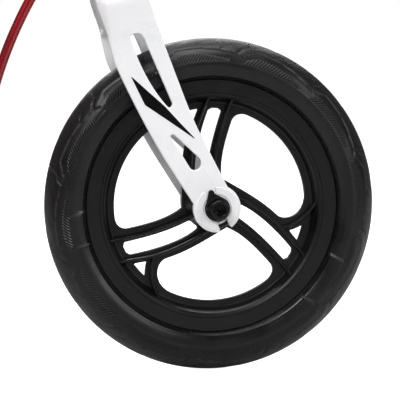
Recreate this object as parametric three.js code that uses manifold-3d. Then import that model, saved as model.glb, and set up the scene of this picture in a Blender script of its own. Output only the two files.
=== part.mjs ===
// Child's balance bike with 12 inch wheels.
// Millimetres. +X forward, +Y to the rider's left, +Z up. The origin is on the ground, midway between
// the two axles. Every axle lies along Y.

import * as THREE from 'three';
import { mergeVertices } from 'three/addons/utils/BufferGeometryUtils.js';
import Module from 'manifold-3d';

const wasm = await Module();
wasm.setup();

// ---------------------------------------------------------------- driving dimensions

const GAP = 0.3; // clearance between pieces that touch or are welded
const TURN = 2 * Math.PI;
const DEGREE = Math.PI / 180;

const TYRE_RADIUS = 150;
const WHEELBASE = 580;
const AXLE_X = WHEELBASE / 2;

const RIM_RADIUS = 113.2; // outer edge of the rim flanges
const RIM_HALF_WIDTH = 16;
const RIM_CHANNEL_RADIUS = 104; // floor that the tyre sits on
const RIM_CHANNEL_HALF = 13;
const WINDOW_RADIUS = 86.6; // outer edge of the openings between the spokes
const WEB_HALF = 3.5; // half thickness of the spoke webs and the ledge around them

const HUB_RADIUS = 20;
const HUB_HALF = 30;
const BEARING_RADIUS = 16;
const BEARING_WIDTH = 9;
const AXLE_RADIUS = 7.5;
const AXLE_HALF = 37.7;
const BOLT_RADIUS = 4; // M8 shank
const BOLT_HEAD_RADIUS = 8.5;
const BOLT_HEAD_HEIGHT = 10;
const BOLT_REACH = 15; // how far the shank goes into the axle
const TAP_DEPTH = 20;
const HUB_BORE = 13; // clear bore between the two bearings
const SPACER_RADIUS = 10.5; // clamps the bearing's inner ring
const SLEEVE_RADIUS = 10; // keeps the two bearings apart
const WASHER_RADIUS = 10.3;
const WASHER_THICKNESS = 2;
const TAB_HOLE = [-5.6, 14]; // forward and up from the axle

const FORK_INNER = 38; // inside face of the fork ends
const FORK_THICKNESS = 7;
const FORK_OUTER = FORK_INNER + FORK_THICKNESS;
const FORK_NARROWING = 8.5; // how much closer to the wheel each leg stands at the crown
const NARROWING_START = 25; // heights over the axle between which the legs close in
const NARROWING_SPAN = 120;
const FORK_END_RADIUS = 21.3;
const FORK_SLOT_WIDTH = 9;
const FORK_SLOT_LEAN = 22 * DEGREE; // the slots point down and this much forward
const REAR_END_THICKNESS = 6;

const HEAD_LEAN = 20 * DEGREE; // steering axis from the vertical
const RAKE = 16; // steering axis behind the front axle, at axle height
const CROWN_TOP = 205; // stations along the steering axis, measured from axle height
const CROWN_FOOT = 162;
const CROWN_DEPTH = 44; // front to back
const STEERER_LOW = 178;
const HEAD_TUBE_LOW = 222;
const HEAD_TUBE_HIGH = 312;
const STEERER_TOP = 357;
const BAR_STATION = 430;
const STEERER_RADIUS = 14.3;
const HEAD_TUBE_RADIUS = 19.5;
const CUP_FLANGE = 8; // height of a headset cup outside the head tube
const CUP_SPIGOT = 10; // how far a cup goes into the head tube
const HEADSET_BEARING = 4.7; // height of a headset bearing
const STEM_LOW = 230;
const STEM_RADIUS = 11;

const SEAT_LEAN = 18 * DEGREE;
const SEAT_TUBE_FOOT = new THREE.Vector3(-53.2, 0, 104);
const SEAT_TUBE_LENGTH = 193;
const SEAT_TUBE_RADIUS = 15.5;
const SEAT_POST_RADIUS = 12.7;
const SEAT_PLATE_Z = 327;
const SEAT_PLATE_THICKNESS = 4;
const SEAT_POST_LOW = 40; // station of the post's lower end

const MAIN_TUBE_RADIUS = 16;
const STAY_RADIUS = 7;
const STAY_WALL = 1.5;
const LOWER_BAR_RADIUS = 4.5;
const LOWER_BAR_ARC = 380; // sweep of the lower bar behind the front wheel
const DECK_TOP = 120;
const DECK_THICKNESS = 4;

// ---------------------------------------------------------------- materials

const finish = (color, roughness, metalness) =>
  new THREE.MeshStandardMaterial({ color, roughness, metalness });

const redPaint = finish(0xa50a1c, 0.28, 0.45);
const whitePaint = finish(0xf2f3f5, 0.25, 0);
const foamRubber = finish(0x1b1b1c, 0.8, 0);
const blackNylon = finish(0x232324, 0.55, 0);
const blackSteel = finish(0x1c1b1c, 0.35, 0.8);
const bearingSteel = finish(0xb9bcc0, 0.25, 1);
const blackAluminium = finish(0x2a2a2c, 0.4, 0.9);
const gripRubber = finish(0x202021, 0.9, 0);
const saddleCover = finish(0x242426, 0.75, 0);

// ---------------------------------------------------------------- solids

// Position-only geometry with shared vertices, no collapsed triangles and its faces pointing out.
function outward(source) {
  const open = source.index ? source.toNonIndexed() : source.clone();
  for (const name of Object.keys(open.attributes)) {
    if (name !== 'position') open.deleteAttribute(name);
  }
  const geometry = mergeVertices(open, 1e-3);
  const index = [...geometry.index.array];
  const place = geometry.getAttribute('position');
  const corner = [new THREE.Vector3(), new THREE.Vector3(), new THREE.Vector3()];
  const kept = [];
  let volume = 0;
  for (let i = 0; i < index.length; i += 3) {
    const [a, b, c] = index.slice(i, i + 3);
    if (a === b || b === c || c === a) continue;
    kept.push([a, b, c]);
    [a, b, c].forEach((vertex, k) => corner[k].fromBufferAttribute(place, vertex));
    volume += corner[0].dot(corner[1].cross(corner[2]));
  }
  geometry.setIndex(kept.flatMap(([a, b, c]) => (volume < 0 ? [a, c, b] : [a, b, c])));
  return geometry;
}

function solid(source) {
  const geometry = outward(source);
  const vertProperties = new Float32Array(geometry.getAttribute('position').array);
  const triVerts = new Uint32Array(geometry.index.array);
  return new wasm.Manifold(new wasm.Mesh({ numProp: 3, vertProperties, triVerts }));
}

function geometryOf(body) {
  const mesh = body.getMesh();
  const geometry = new THREE.BufferGeometry();
  geometry.setAttribute('position', new THREE.BufferAttribute(new Float32Array(mesh.vertProperties), 3));
  geometry.setIndex([...mesh.triVerts]);
  return geometry;
}

function join(...geometries) {
  return geometryOf(geometries.map(solid).reduce((whole, next) => whole.add(next)));
}

function cut(geometry, ...tools) {
  return geometryOf(tools.map(solid).reduce((whole, tool) => whole.subtract(tool), solid(geometry)));
}

function addPiece(parent, name, geometry, material) {
  const mesh = new THREE.Mesh(outward(geometry), material);
  mesh.name = name;
  parent.add(mesh);
  return mesh;
}

const points2 = (list) => list.map(([x, y]) => new THREE.Vector2(x, y));
const points3 = (list) => list.map(([x, y, z]) => new THREE.Vector3(x, y, z));

// Turned about Y: a ring from a closed profile of [radius, y] points.
function turnedRing(profile, segments = 16) {
  return new THREE.LatheGeometry(points2([...profile, profile[0]]), segments);
}

// Turned about Y: a solid whose profile starts and ends on the axis.
function turnedSolid(profile, segments = 16) {
  return new THREE.LatheGeometry(points2(profile), segments);
}

function sleeve(inner, outer, low, high, segments = 16) {
  return turnedRing([[inner, low], [outer, low], [outer, high], [inner, high]], segments);
}

function rod(radius, low, high, segments = 16) {
  return turnedSolid([[0, low], [radius, low], [radius, high], [0, high]], segments);
}

function circle(radius) {
  return new THREE.Shape().absarc(0, 0, radius, 0, TURN, false);
}

// A bar or, with an inner radius, a hollow tube along a curve.
function tube(path, outer, inner, steps, sides) {
  const section = circle(outer);
  if (inner > 0) section.holes.push(new THREE.Path().absarc(0, 0, inner, 0, TURN, true));
  const curveSegments = sides / 2; // a full circle gets twice this many
  return new THREE.ExtrudeGeometry(section, { steps, extrudePath: path, curveSegments });
}

// A plate whose outline lies in X and Z, from y = low to y = high.
function plate(shape, low, high, curveSegments = 8) {
  const options = { depth: high - low, bevelEnabled: false, curveSegments };
  return new THREE.ExtrudeGeometry(shape, options).rotateX(Math.PI / 2).translate(0, high, 0);
}

function box(low, high) {
  const size = high.map((value, axis) => value - low[axis]);
  const centre = high.map((value, axis) => (value + low[axis]) / 2);
  return new THREE.BoxGeometry(...size).translate(...centre);
}

// A group whose local Y runs along an axis that leans back, local X forward and local Z to the right.
function leaningGroup(origin, lean) {
  const group = new THREE.Group();
  group.position.copy(origin);
  group.rotation.set(Math.PI / 2, -lean, 0, 'YXZ');
  group.updateMatrix();
  return group;
}

const steeringOrigin = new THREE.Vector3(AXLE_X - RAKE, 0, TYRE_RADIUS);
const steeringMatrix = leaningGroup(steeringOrigin, HEAD_LEAN).matrix;
const seatMatrix = leaningGroup(SEAT_TUBE_FOOT, SEAT_LEAN).matrix;
const onAxis = (matrix, station) => new THREE.Vector3(0, station, 0).applyMatrix4(matrix);

// ---------------------------------------------------------------- wheels

function tyreShape() {
  const base = RIM_CHANNEL_RADIUS + GAP;
  const lip = RIM_RADIUS + GAP;
  const half = [[base, RIM_CHANNEL_HALF - GAP], [lip, RIM_CHANNEL_HALF - GAP], [lip, 16.2],
    [120, 22.4], [128, 24], [137, 21.5], [TYRE_RADIUS, 4.5]];
  const mirrored = half.map(([radius, y]) => [radius, -y]).reverse();
  return turnedRing([...half, ...mirrored], 36);
}

// One of the three spokes, in X and Z, with the spoke pointing roughly along +X.
function spokeShape() {
  const shape = new THREE.Shape();
  shape.moveTo(-4, 16);
  shape.lineTo(-4, 25.7);
  shape.bezierCurveTo(14, 26.4, 36, 29, 57.5, 24.8);
  shape.bezierCurveTo(66, 23.2, 77, 32, 70.8, 50.7);
  shape.absarc(0, 0, 90.5, 36 * DEGREE, -19 * DEGREE, true);
  shape.lineTo(81.5, -26.9);
  shape.quadraticCurveTo(83.5, -18, 77, -15.8);
  shape.bezierCurveTo(58, -10.4, 40, -6.4, 24.8, -9.3);
  shape.lineTo(14, -8);
  shape.closePath();

  const slot = new THREE.Path();
  slot.moveTo(20, 14);
  slot.quadraticCurveTo(18.6, 8, 24, 4);
  slot.bezierCurveTo(46, 4, 66, -1, 84.6, -5.9);
  slot.lineTo(88.8, 0);
  slot.lineTo(85, 6.5);
  slot.bezierCurveTo(62, 13.8, 36, 18, 20, 14);
  shape.holes.push(slot);

  const triangle = new THREE.Path();
  triangle.moveTo(74.3, 19);
  triangle.lineTo(86.5, 15);
  triangle.lineTo(82.8, 31.7);
  triangle.quadraticCurveTo(79.5, 24.5, 74.3, 19);
  shape.holes.push(triangle);
  return shape;
}

const SPOKE_ANGLES = [87, 207, 327]; // degrees, from forward towards up

function wheelShape() {
  const rim = turnedRing([
    [WINDOW_RADIUS, -WEB_HALF], [94, -WEB_HALF], [99.5, -RIM_HALF_WIDTH],
    [RIM_RADIUS, -RIM_HALF_WIDTH], [RIM_RADIUS, -RIM_CHANNEL_HALF],
    [RIM_CHANNEL_RADIUS, -RIM_CHANNEL_HALF], [RIM_CHANNEL_RADIUS, RIM_CHANNEL_HALF],
    [RIM_RADIUS, RIM_CHANNEL_HALF], [RIM_RADIUS, RIM_HALF_WIDTH],
    [99.5, RIM_HALF_WIDTH], [94, WEB_HALF], [WINDOW_RADIUS, WEB_HALF]], 36);
  const seat = BEARING_RADIUS + GAP;
  const shoulder = HUB_HALF - BEARING_WIDTH - 2 * GAP;
  const hub = turnedRing([
    [HUB_BORE, -shoulder], [seat, -shoulder], [seat, -HUB_HALF], [HUB_RADIUS, -HUB_HALF],
    [HUB_RADIUS, HUB_HALF], [seat, HUB_HALF], [seat, shoulder],
    [HUB_BORE, shoulder]], 20);
  const spokes = SPOKE_ANGLES.map((angle) =>
    plate(spokeShape(), -WEB_HALF, WEB_HALF, 4).rotateY(-angle * DEGREE));
  return cut(join(rim, hub, ...spokes), rod(HUB_BORE, -HUB_HALF, HUB_HALF, 20));
}

// A socket-head bolt along Y, its head outward at +Y and the underside of the head at y = under.
function boltShape(under, tip) {
  const head = under + BOLT_HEAD_HEIGHT;
  const body = turnedSolid([[0, tip], [BOLT_RADIUS, tip], [BOLT_RADIUS, under],
    [BOLT_HEAD_RADIUS, under], [BOLT_HEAD_RADIUS, head], [0, head]], 14);
  const socket = rod(3.5, head - 5, head + 1, 6);
  return cut(body, socket);
}

// A flat washer with a rounded tab that points up and back into a small hole beside the axle.
function tabWasherShape(low, high) {
  const shape = new THREE.Shape();
  shape.absarc(0, 0, 11.3, 152 * DEGREE, 410 * DEGREE, false);
  shape.lineTo(-3, 14.6);
  shape.absarc(...TAB_HOLE, 2.7, 20 * DEGREE, 170 * DEGREE, false);
  shape.closePath();
  shape.holes.push(new THREE.Path().absarc(0, 0, BOLT_RADIUS + GAP, 0, TURN, true));
  return plate(shape, low, high, 5);
}

function mirrorY(geometry) {
  return geometry.clone().scale(1, -1, 1);
}

function axleShape() {
  const drill = rod(BOLT_RADIUS + GAP, AXLE_HALF - TAP_DEPTH, AXLE_HALF + 1, 12);
  return cut(rod(AXLE_RADIUS, -AXLE_HALF, AXLE_HALF, 12), drill, mirrorY(drill));
}

// A whole wheel with everything on its axle. endFace is the outside face of the fork or frame ends.
function makeWheel(prefix, x, endFace, withTabs) {
  const group = new THREE.Group();
  group.position.set(x, 0, TYRE_RADIUS);
  addPiece(group, `${prefix}_tyre`, tyreShape(), foamRubber);
  addPiece(group, `${prefix}_wheel`, wheelShape(), blackNylon);
  addPiece(group, `${prefix}_axle`, axleShape(), blackSteel);
  const bore = AXLE_RADIUS + GAP;
  const inside = HUB_HALF - BEARING_WIDTH - GAP;
  const between = sleeve(bore, SLEEVE_RADIUS, GAP - inside, inside - GAP, 12);
  addPiece(group, `${prefix}_sleeve`, between, bearingSteel);

  const tabLow = endFace + GAP;
  const washerLow = tabLow + (withTabs ? WASHER_THICKNESS + GAP : 0);
  const headLow = washerLow + WASHER_THICKNESS + GAP;
  const bearing = sleeve(bore, BEARING_RADIUS, inside, inside + BEARING_WIDTH, 14);
  const spacer = sleeve(bore, SPACER_RADIUS, inside + BEARING_WIDTH + GAP, AXLE_HALF, 12);
  const hole = BOLT_RADIUS + GAP;
  const washer = sleeve(hole, WASHER_RADIUS, washerLow, washerLow + WASHER_THICKNESS, 14);
  const tabWasher = tabWasherShape(tabLow, tabLow + WASHER_THICKNESS);
  const bolt = boltShape(headLow, AXLE_HALF - BOLT_REACH);
  for (const [side, turn] of [['left', (g) => g], ['right', mirrorY]]) {
    addPiece(group, `${prefix}_bearing_${side}`, turn(bearing), bearingSteel);
    addPiece(group, `${prefix}_spacer_${side}`, turn(spacer), blackAluminium);
    addPiece(group, `${prefix}_washer_${side}`, turn(washer), blackSteel);
    addPiece(group, `${prefix}_bolt_${side}`, turn(bolt), blackSteel);
    if (withTabs) {
      addPiece(group, `${prefix}_tab_washer_${side}`, turn(tabWasher), blackSteel);
    }
  }
  return group;
}

// ---------------------------------------------------------------- fork

function forkLegOutline() {
  const shape = new THREE.Shape();
  shape.moveTo(9.5, 19);
  shape.lineTo(-9, 55);
  shape.quadraticCurveTo(-19, 74, -27, 95);
  shape.lineTo(-55, 170);
  shape.lineTo(-97, 157.5);
  shape.lineTo(-90, 130);
  shape.quadraticCurveTo(-86, 119, -75, 97);
  shape.quadraticCurveTo(-62, 70, -45, 42.1);
  shape.lineTo(-20.9, 4);
  shape.absarc(0, 0, FORK_END_RADIUS, 169 * DEGREE, 423.5 * DEGREE, false);
  shape.closePath();

  const upper = new THREE.Path();
  upper.moveTo(-76.2, 152);
  upper.quadraticCurveTo(-66, 158, -62.5, 147.5);
  upper.lineTo(-38.9, 92.4);
  upper.quadraticCurveTo(-40.5, 87.5, -43.7, 90.4);
  upper.quadraticCurveTo(-64, 113, -76.2, 152);
  shape.holes.push(upper);

  const lower = new THREE.Path();
  lower.moveTo(-41, 63.8);
  lower.quadraticCurveTo(-40, 67, -36.8, 64.6);
  lower.lineTo(-15.2, 44.2);
  lower.quadraticCurveTo(-12.4, 39, -17.2, 35);
  lower.quadraticCurveTo(-22, 32.5, -24.8, 37.5);
  lower.lineTo(-41, 63.8);
  shape.holes.push(lower);
  return shape;
}

// The leg at y > 0, closing in on the wheel as it rises, with its open slot and tab hole.
function forkLeg() {
  const leg = plate(forkLegOutline(), FORK_INNER, FORK_OUTER, 4);
  const reach = FORK_END_RADIUS + 5;
  const half = FORK_SLOT_WIDTH / 2;
  const slot = box([-half, FORK_INNER - 1, -reach], [half, FORK_OUTER + 1, 0]);
  slot.rotateY(-FORK_SLOT_LEAN);
  const eye = rod(half, FORK_INNER - 1, FORK_OUTER + 1);
  const [tabX, tabZ] = TAB_HOLE;
  const tabHole = rod(2.9, FORK_INNER - 1, FORK_OUTER + 1, 8).translate(tabX, 0, tabZ);
  const shaped = cut(leg, slot, eye, tabHole);
  const place = shaped.getAttribute('position');
  for (let i = 0; i < place.count; i += 1) {
    const rise = THREE.MathUtils.clamp((place.getZ(i) - NARROWING_START) / NARROWING_SPAN, 0, 1);
    place.setY(i, place.getY(i) - FORK_NARROWING * rise);
  }
  return shaped;
}

// The arch over the wheel, in the steering frame (X forward, Y up the axis, Z right).
function forkCrown() {
  const outer = FORK_OUTER - FORK_NARROWING;
  const inner = FORK_INNER - FORK_NARROWING;
  const arch = new THREE.Shape();
  arch.moveTo(outer, CROWN_FOOT);
  arch.lineTo(outer, 190);
  arch.bezierCurveTo(outer, 200, 32, CROWN_TOP, 25, CROWN_TOP);
  arch.lineTo(-25, CROWN_TOP);
  arch.bezierCurveTo(-32, CROWN_TOP, -outer, 200, -outer, 190);
  arch.lineTo(-outer, CROWN_FOOT);
  arch.lineTo(-inner, CROWN_FOOT);
  arch.bezierCurveTo(-inner, 170, -18, 174, 0, 174);
  arch.bezierCurveTo(18, 174, inner, 170, inner, CROWN_FOOT);
  arch.closePath();
  const options = { depth: CROWN_DEPTH, bevelEnabled: false, curveSegments: 5 };
  const block = new THREE.ExtrudeGeometry(arch, options)
    .translate(0, 0, -CROWN_DEPTH / 2).rotateY(Math.PI / 2);
  const peg = box([-21.8, CROWN_TOP - 2, -3], [-19.4, CROWN_TOP + 4.5, 3]);
  return cut(join(block, peg), rod(STEERER_RADIUS + GAP, 150, 220));
}

function forkShape() {
  const toWheel = new THREE.Matrix4().makeTranslation(-AXLE_X, 0, -TYRE_RADIUS).multiply(steeringMatrix);
  const leg = forkLeg();
  return join(forkCrown().applyMatrix4(toWheel), leg, mirrorY(leg));
}

function makeFork() {
  const group = new THREE.Group();
  group.position.set(AXLE_X, 0, TYRE_RADIUS);
  addPiece(group, 'fork', forkShape(), whitePaint);
  return group;
}

// ---------------------------------------------------------------- headset and handlebar

// A cup with a flange that butts against the head tube and a spigot inside it.
function cupProfile(flange, butt, spigot) {
  return [[14.9, flange], [22.5, flange], [22.5, butt], [16.2, butt], [16.2, spigot], [14.9, spigot]];
}

// The lower cup carries two lugs that the crown's peg meets 45 degrees either way.
function lowerCup() {
  const flange = CROWN_TOP + HEADSET_BEARING + 2 * GAP;
  const cup = turnedRing(cupProfile(flange, HEAD_TUBE_LOW - GAP, HEAD_TUBE_LOW + CUP_SPIGOT), 20);
  const lugs = [-62.5, 62.5].map((angle) =>
    box([-22, CROWN_TOP + 1, -3], [-19.2, CROWN_TOP + 7, 3]).rotateY(angle * DEGREE));
  return join(cup, ...lugs);
}

function hexNut(low, high, radius, bore) {
  return cut(rod(radius, low, high, 6), rod(bore, low - 1, high + 1));
}

function makeSteering() {
  const group = leaningGroup(steeringOrigin, HEAD_LEAN);
  const steerer = sleeve(STEM_RADIUS + GAP, STEERER_RADIUS, STEERER_LOW, STEERER_TOP);
  const bearing = (low) => sleeve(STEERER_RADIUS + GAP, 18.6, low, low + HEADSET_BEARING);
  const cupTop = HEAD_TUBE_HIGH + CUP_FLANGE;
  const upperCup = turnedRing(cupProfile(cupTop, HEAD_TUBE_HIGH + GAP, HEAD_TUBE_HIGH - CUP_SPIGOT), 20);
  addPiece(group, 'steerer_tube', steerer, blackSteel);
  addPiece(group, 'headset_lower_bearing', bearing(CROWN_TOP + GAP), bearingSteel);
  addPiece(group, 'headset_lower_cup', lowerCup(), blackAluminium);
  addPiece(group, 'headset_upper_cup', upperCup, blackAluminium);
  addPiece(group, 'headset_upper_bearing', bearing(cupTop + GAP), bearingSteel);
  const nutLow = cupTop + HEADSET_BEARING + 2 * GAP;
  addPiece(group, 'headset_nut', hexNut(nutLow, nutLow + 8, 21, STEERER_RADIUS + GAP), blackAluminium);
  return group;
}

// Half of the handlebar, from its middle to the left end, as straight and curved stretches.
const BAR_CENTRE = onAxis(steeringMatrix, BAR_STATION);
const BAR_RADIUS = 11.1;
const GRIP_START = [-14, 96, 30];
const GRIP_SWEEP = 8 * DEGREE;
const GRIP_LENGTH = 100;

function handlebarPath() {
  const sweep = new THREE.Vector3(-Math.sin(GRIP_SWEEP), Math.cos(GRIP_SWEEP), 0);
  const [middle, rise, bend, start] = points3([[0, 0, 0], [0, 34, 0], [-9, 66, 30], GRIP_START]);
  const end = start.clone().addScaledVector(sweep, GRIP_LENGTH);
  const right = (point) => point.clone().multiply(new THREE.Vector3(1, -1, 1));
  const path = new THREE.CurvePath();
  path.add(new THREE.LineCurve3(right(end), right(start)));
  path.add(new THREE.CubicBezierCurve3(right(start), right(bend), right(rise), middle));
  path.add(new THREE.CubicBezierCurve3(middle, rise, bend, start));
  path.add(new THREE.LineCurve3(start, end));
  return path;
}

function gripShape() {
  const inner = BAR_RADIUS + GAP;
  const stop = GRIP_LENGTH + GAP;
  return turnedSolid([[0, stop], [inner, stop], [inner, 1], [19, 1], [19, 5], [14.5, 8],
    [14.5, 94], [16, 97], [16, stop + 4], [0, stop + 4]]);
}

function makeHandlebar() {
  const group = new THREE.Group();
  group.position.copy(BAR_CENTRE);
  const path = handlebarPath();
  addPiece(group, 'handlebar', tube(path, BAR_RADIUS, 9.5, 20, 8), blackAluminium);
  for (const [name, side] of [['grip_left', 1], ['grip_right', -1]]) {
    const grip = addPiece(group, name, gripShape(), gripRubber);
    grip.position.set(GRIP_START[0], side * GRIP_START[1], GRIP_START[2]);
    grip.rotation.z = side > 0 ? GRIP_SWEEP : Math.PI - GRIP_SWEEP;
  }
  return group;
}

function makeStem() {
  const group = leaningGroup(steeringOrigin, HEAD_LEAN);
  const post = sleeve(8.8, STEM_RADIUS, STEM_LOW, BAR_STATION);
  const toStem = steeringMatrix.clone().invert()
    .multiply(new THREE.Matrix4().makeTranslation(...BAR_CENTRE));
  const bar = tube(handlebarPath(), BAR_RADIUS + GAP, 0, 20, 8).applyMatrix4(toStem);
  addPiece(group, 'stem_post', cut(post, bar), blackAluminium);
  return group;
}

// ---------------------------------------------------------------- quick-release clamps

// A split collar around a tube along local Y, with its skewer behind the tube, the nut on the right
// and the cam lever on the left. Local X is forward and local Z is right.
function makeClamp(prefix, origin, lean, bore, low) {
  const group = leaningGroup(origin, lean);
  const high = low + 17;
  const middle = (low + high) / 2;
  const outer = bore + 5.5;
  const back = -(outer + 13);
  const skewerX = back + 6;
  const earHalf = 9;
  const pivotZ = -(earHalf + GAP + 6.8);

  const along = (geometry) => geometry.rotateX(Math.PI / 2);
  const ears = box([back, low, -earHalf], [-bore - 1, high, earHalf]);
  const collar = join(sleeve(bore, outer, low, high), ears);
  const slit = box([back - 1, low - 1, -1.2], [-bore + 2, high + 1, 1.2]);
  const hole = along(rod(2.8, -earHalf - 1, earHalf + 1, 12)).translate(skewerX, middle, 0);
  const inside = rod(bore, low - 1, high + 1);
  addPiece(group, `${prefix}_collar`, cut(collar, slit, hole, inside), blackAluminium);

  const shank = along(rod(2.5, pivotZ, earHalf + 8, 12));
  const eye = rod(4.6, -3, 3, 14).translate(0, 0, pivotZ);
  const eyeHole = rod(2.3, -4, 4, 10).translate(0, 0, pivotZ);
  const skewer = cut(join(shank, eye), eyeHole).translate(skewerX, middle, 0);
  addPiece(group, `${prefix}_skewer`, skewer, blackSteel);
  const nut = along(hexNut(earHalf + GAP, earHalf + 7, 6.5, 2.8)).translate(skewerX, middle, 0);
  addPiece(group, `${prefix}_nut`, nut, blackSteel);

  const cam = rod(6.7, -6.6, 6.6, 16);
  const arm = new THREE.Shape();
  arm.moveTo(4.9, 4);
  arm.lineTo(14, -4.2);
  arm.quadraticCurveTo(34, -7.2, 50, -5.4);
  arm.quadraticCurveTo(53, -8, 50, -9.6);
  arm.quadraticCurveTo(32, -12.5, 12, -9.5);
  arm.lineTo(3, -6);
  arm.closePath();
  const options = { depth: 13.2, bevelEnabled: false, curveSegments: 5 };
  const handle = new THREE.ExtrudeGeometry(arm, options).translate(0, 0, -6.6).rotateX(-Math.PI / 2);
  handle.scale(1, 1, -1);
  const slot = rod(4.9, -3.3, 3.3, 16);
  const swing = box([-8, -3.3, -2], [4.9, 3.3, 8]);
  const opening = box([-8, -3.3, -8], [2.9, 3.3, 2]);
  const pin = rod(2, -6.6, 6.6, 10);
  const lever = join(cut(join(cam, handle), slot, swing, opening), pin);
  addPiece(group, `${prefix}_lever`, lever.translate(skewerX, middle, pivotZ), blackAluminium);
  return group;
}

// ---------------------------------------------------------------- frame

function mainTubePath() {
  const head = onAxis(steeringMatrix, 290);
  const seat = onAxis(seatMatrix, 151);
  const between = points3([[105, 0, 396], [20, 0, 340], [-45, 0, 288]]);
  return new THREE.CatmullRomCurve3([head, ...between, seat]);
}

// The slender bar: an arc behind the front wheel, a bend, and a level run to the seat tube.
function lowerBarPath() {
  const level = DECK_TOP - DECK_THICKNESS - GAP - LOWER_BAR_RADIUS;
  const centreX = 462;
  const onArc = (z) => {
    const x = centreX - Math.sqrt(LOWER_BAR_ARC ** 2 - (z - TYRE_RADIUS) ** 2);
    return [x, 0, z];
  };
  const arc = [392, 360, 325, 290, 255, 220, 185].map(onArc);
  return new THREE.CatmullRomCurve3(points3([
    ...arc, [80, 0, 155], [72, 0, 132], [58, 0, level + 3.5],
    [38, 0, level], [10, 0, level], [-20, 0, level], [-50, 0, level]]));
}

// Stays on one side: y is positive on the left.
function chainStayPath(side) {
  const route = [[-62, 9, 117], [-92, 26, 121], [-130, 38, 127], [-190, 42, 136], [-264, 41.2, 146.5]];
  return new THREE.CatmullRomCurve3(points3(route.map(([x, y, z]) => [x, side * y, z])));
}

function seatStayPath(side) {
  const route = [[-109, 9, 262], [-130, 26, 254], [-160, 38, 240], [-215, 42, 208], [-269.4, 41.2, 166.1]];
  return new THREE.CatmullRomCurve3(points3(route.map(([x, y, z]) => [x, side * y, z])));
}

// A rear end plate: a disc about the axle hole with two fingers that the stays butt against.
function rearEndShape(side) {
  const low = FORK_INNER + GAP;
  const plateAt = (shape) => plate(shape, low, low + REAR_END_THICKNESS, 9);
  const finger = (angle, length) => {
    const bar = new THREE.Shape(points2([[0, -6.5], [length, -6.5], [length, 6.5], [0, 6.5]]));
    return plateAt(bar).rotateY(-angle * DEGREE);
  };
  const body = join(plateAt(circle(17)), finger(-7.7, 25.6), finger(38, 25.6));
  const end = cut(body, rod(BOLT_RADIUS + GAP, low - 1, low + REAR_END_THICKNESS + 1, 16));
  return side > 0 ? end : mirrorY(end);
}

function deckShape() {
  const halfX = 44;
  const halfY = 50;
  const corner = 16;
  const outline = new THREE.Shape();
  outline.absarc(halfX - corner, halfY - corner, corner, 0, TURN / 4, false);
  outline.absarc(corner - halfX, halfY - corner, corner, TURN / 4, TURN / 2, false);
  outline.absarc(corner - halfX, corner - halfY, corner, TURN / 2, (3 * TURN) / 4, false);
  outline.absarc(halfX - corner, corner - halfY, corner, (3 * TURN) / 4, TURN, false);
  outline.closePath();
  const options = { depth: DECK_THICKNESS, bevelEnabled: false, curveSegments: 6 };
  return new THREE.ExtrudeGeometry(outline, options).translate(-10, 0, DECK_TOP - DECK_THICKNESS);
}

function makeFrame() {
  const group = new THREE.Group();
  const headTube = sleeve(16.5, HEAD_TUBE_RADIUS, HEAD_TUBE_LOW, HEAD_TUBE_HIGH, 20)
    .applyMatrix4(steeringMatrix);
  const seatTube = sleeve(SEAT_POST_RADIUS + GAP, SEAT_TUBE_RADIUS, 0, SEAT_TUBE_LENGTH)
    .applyMatrix4(seatMatrix);
  const aroundHead = rod(HEAD_TUBE_RADIUS + GAP, 190, 340, 20).applyMatrix4(steeringMatrix);
  const aroundSeat = rod(SEAT_TUBE_RADIUS + GAP, -30, 230).applyMatrix4(seatMatrix);
  addPiece(group, 'head_tube', headTube, redPaint);
  addPiece(group, 'seat_tube', seatTube, redPaint);

  const mainTube = tube(mainTubePath(), MAIN_TUBE_RADIUS, MAIN_TUBE_RADIUS - 2, 9, 12);
  addPiece(group, 'main_tube', cut(mainTube, aroundHead, aroundSeat), redPaint);
  const lowerBar = tube(lowerBarPath(), LOWER_BAR_RADIUS, 0, 22, 8);
  addPiece(group, 'lower_bar', cut(lowerBar, aroundHead, aroundSeat), redPaint);
  addPiece(group, 'foot_deck', cut(deckShape(), aroundSeat), blackSteel);

  for (const [name, side] of [['left', 1], ['right', -1]]) {
    const stay = (path) => tube(path, STAY_RADIUS, STAY_RADIUS - STAY_WALL, 6, 8);
    const end = rearEndShape(side).translate(-AXLE_X, 0, TYRE_RADIUS);
    const leftHalf = box([-150, -60, 90], [0, GAP / 2, 290]);
    const otherSide = side > 0 ? leftHalf : mirrorY(leftHalf);
    addPiece(group, `chain_stay_${name}`, cut(stay(chainStayPath(side)), aroundSeat, otherSide), redPaint);
    addPiece(group, `seat_stay_${name}`, cut(stay(seatStayPath(side)), aroundSeat, otherSide), redPaint);
    addPiece(group, `rear_end_${name}`, end, redPaint);
  }
  return group;
}

// ---------------------------------------------------------------- seat

// Outline of the saddle seen from above, forward and out from the post's head.
function saddleOutline(shrink) {
  const nose = 96 - shrink;
  const tail = -104 + shrink;
  const wide = 66 - shrink;
  const shape = new THREE.Shape();
  shape.moveTo(nose, 0);
  shape.bezierCurveTo(nose, 26 - shrink, nose - 20, 27 - shrink, nose - 50, 31 - shrink);
  shape.bezierCurveTo(nose - 95, 38 - shrink, -40, wide, tail + 34, wide);
  shape.bezierCurveTo(tail + 6, wide, tail, 40, tail + 4, 0);
  shape.bezierCurveTo(tail, -40, tail + 6, -wide, tail + 34, -wide);
  shape.bezierCurveTo(-40, -wide, nose - 95, shrink - 38, nose - 50, shrink - 31);
  shape.bezierCurveTo(nose - 20, shrink - 27, nose, shrink - 26, nose, 0);
  return shape;
}

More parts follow.
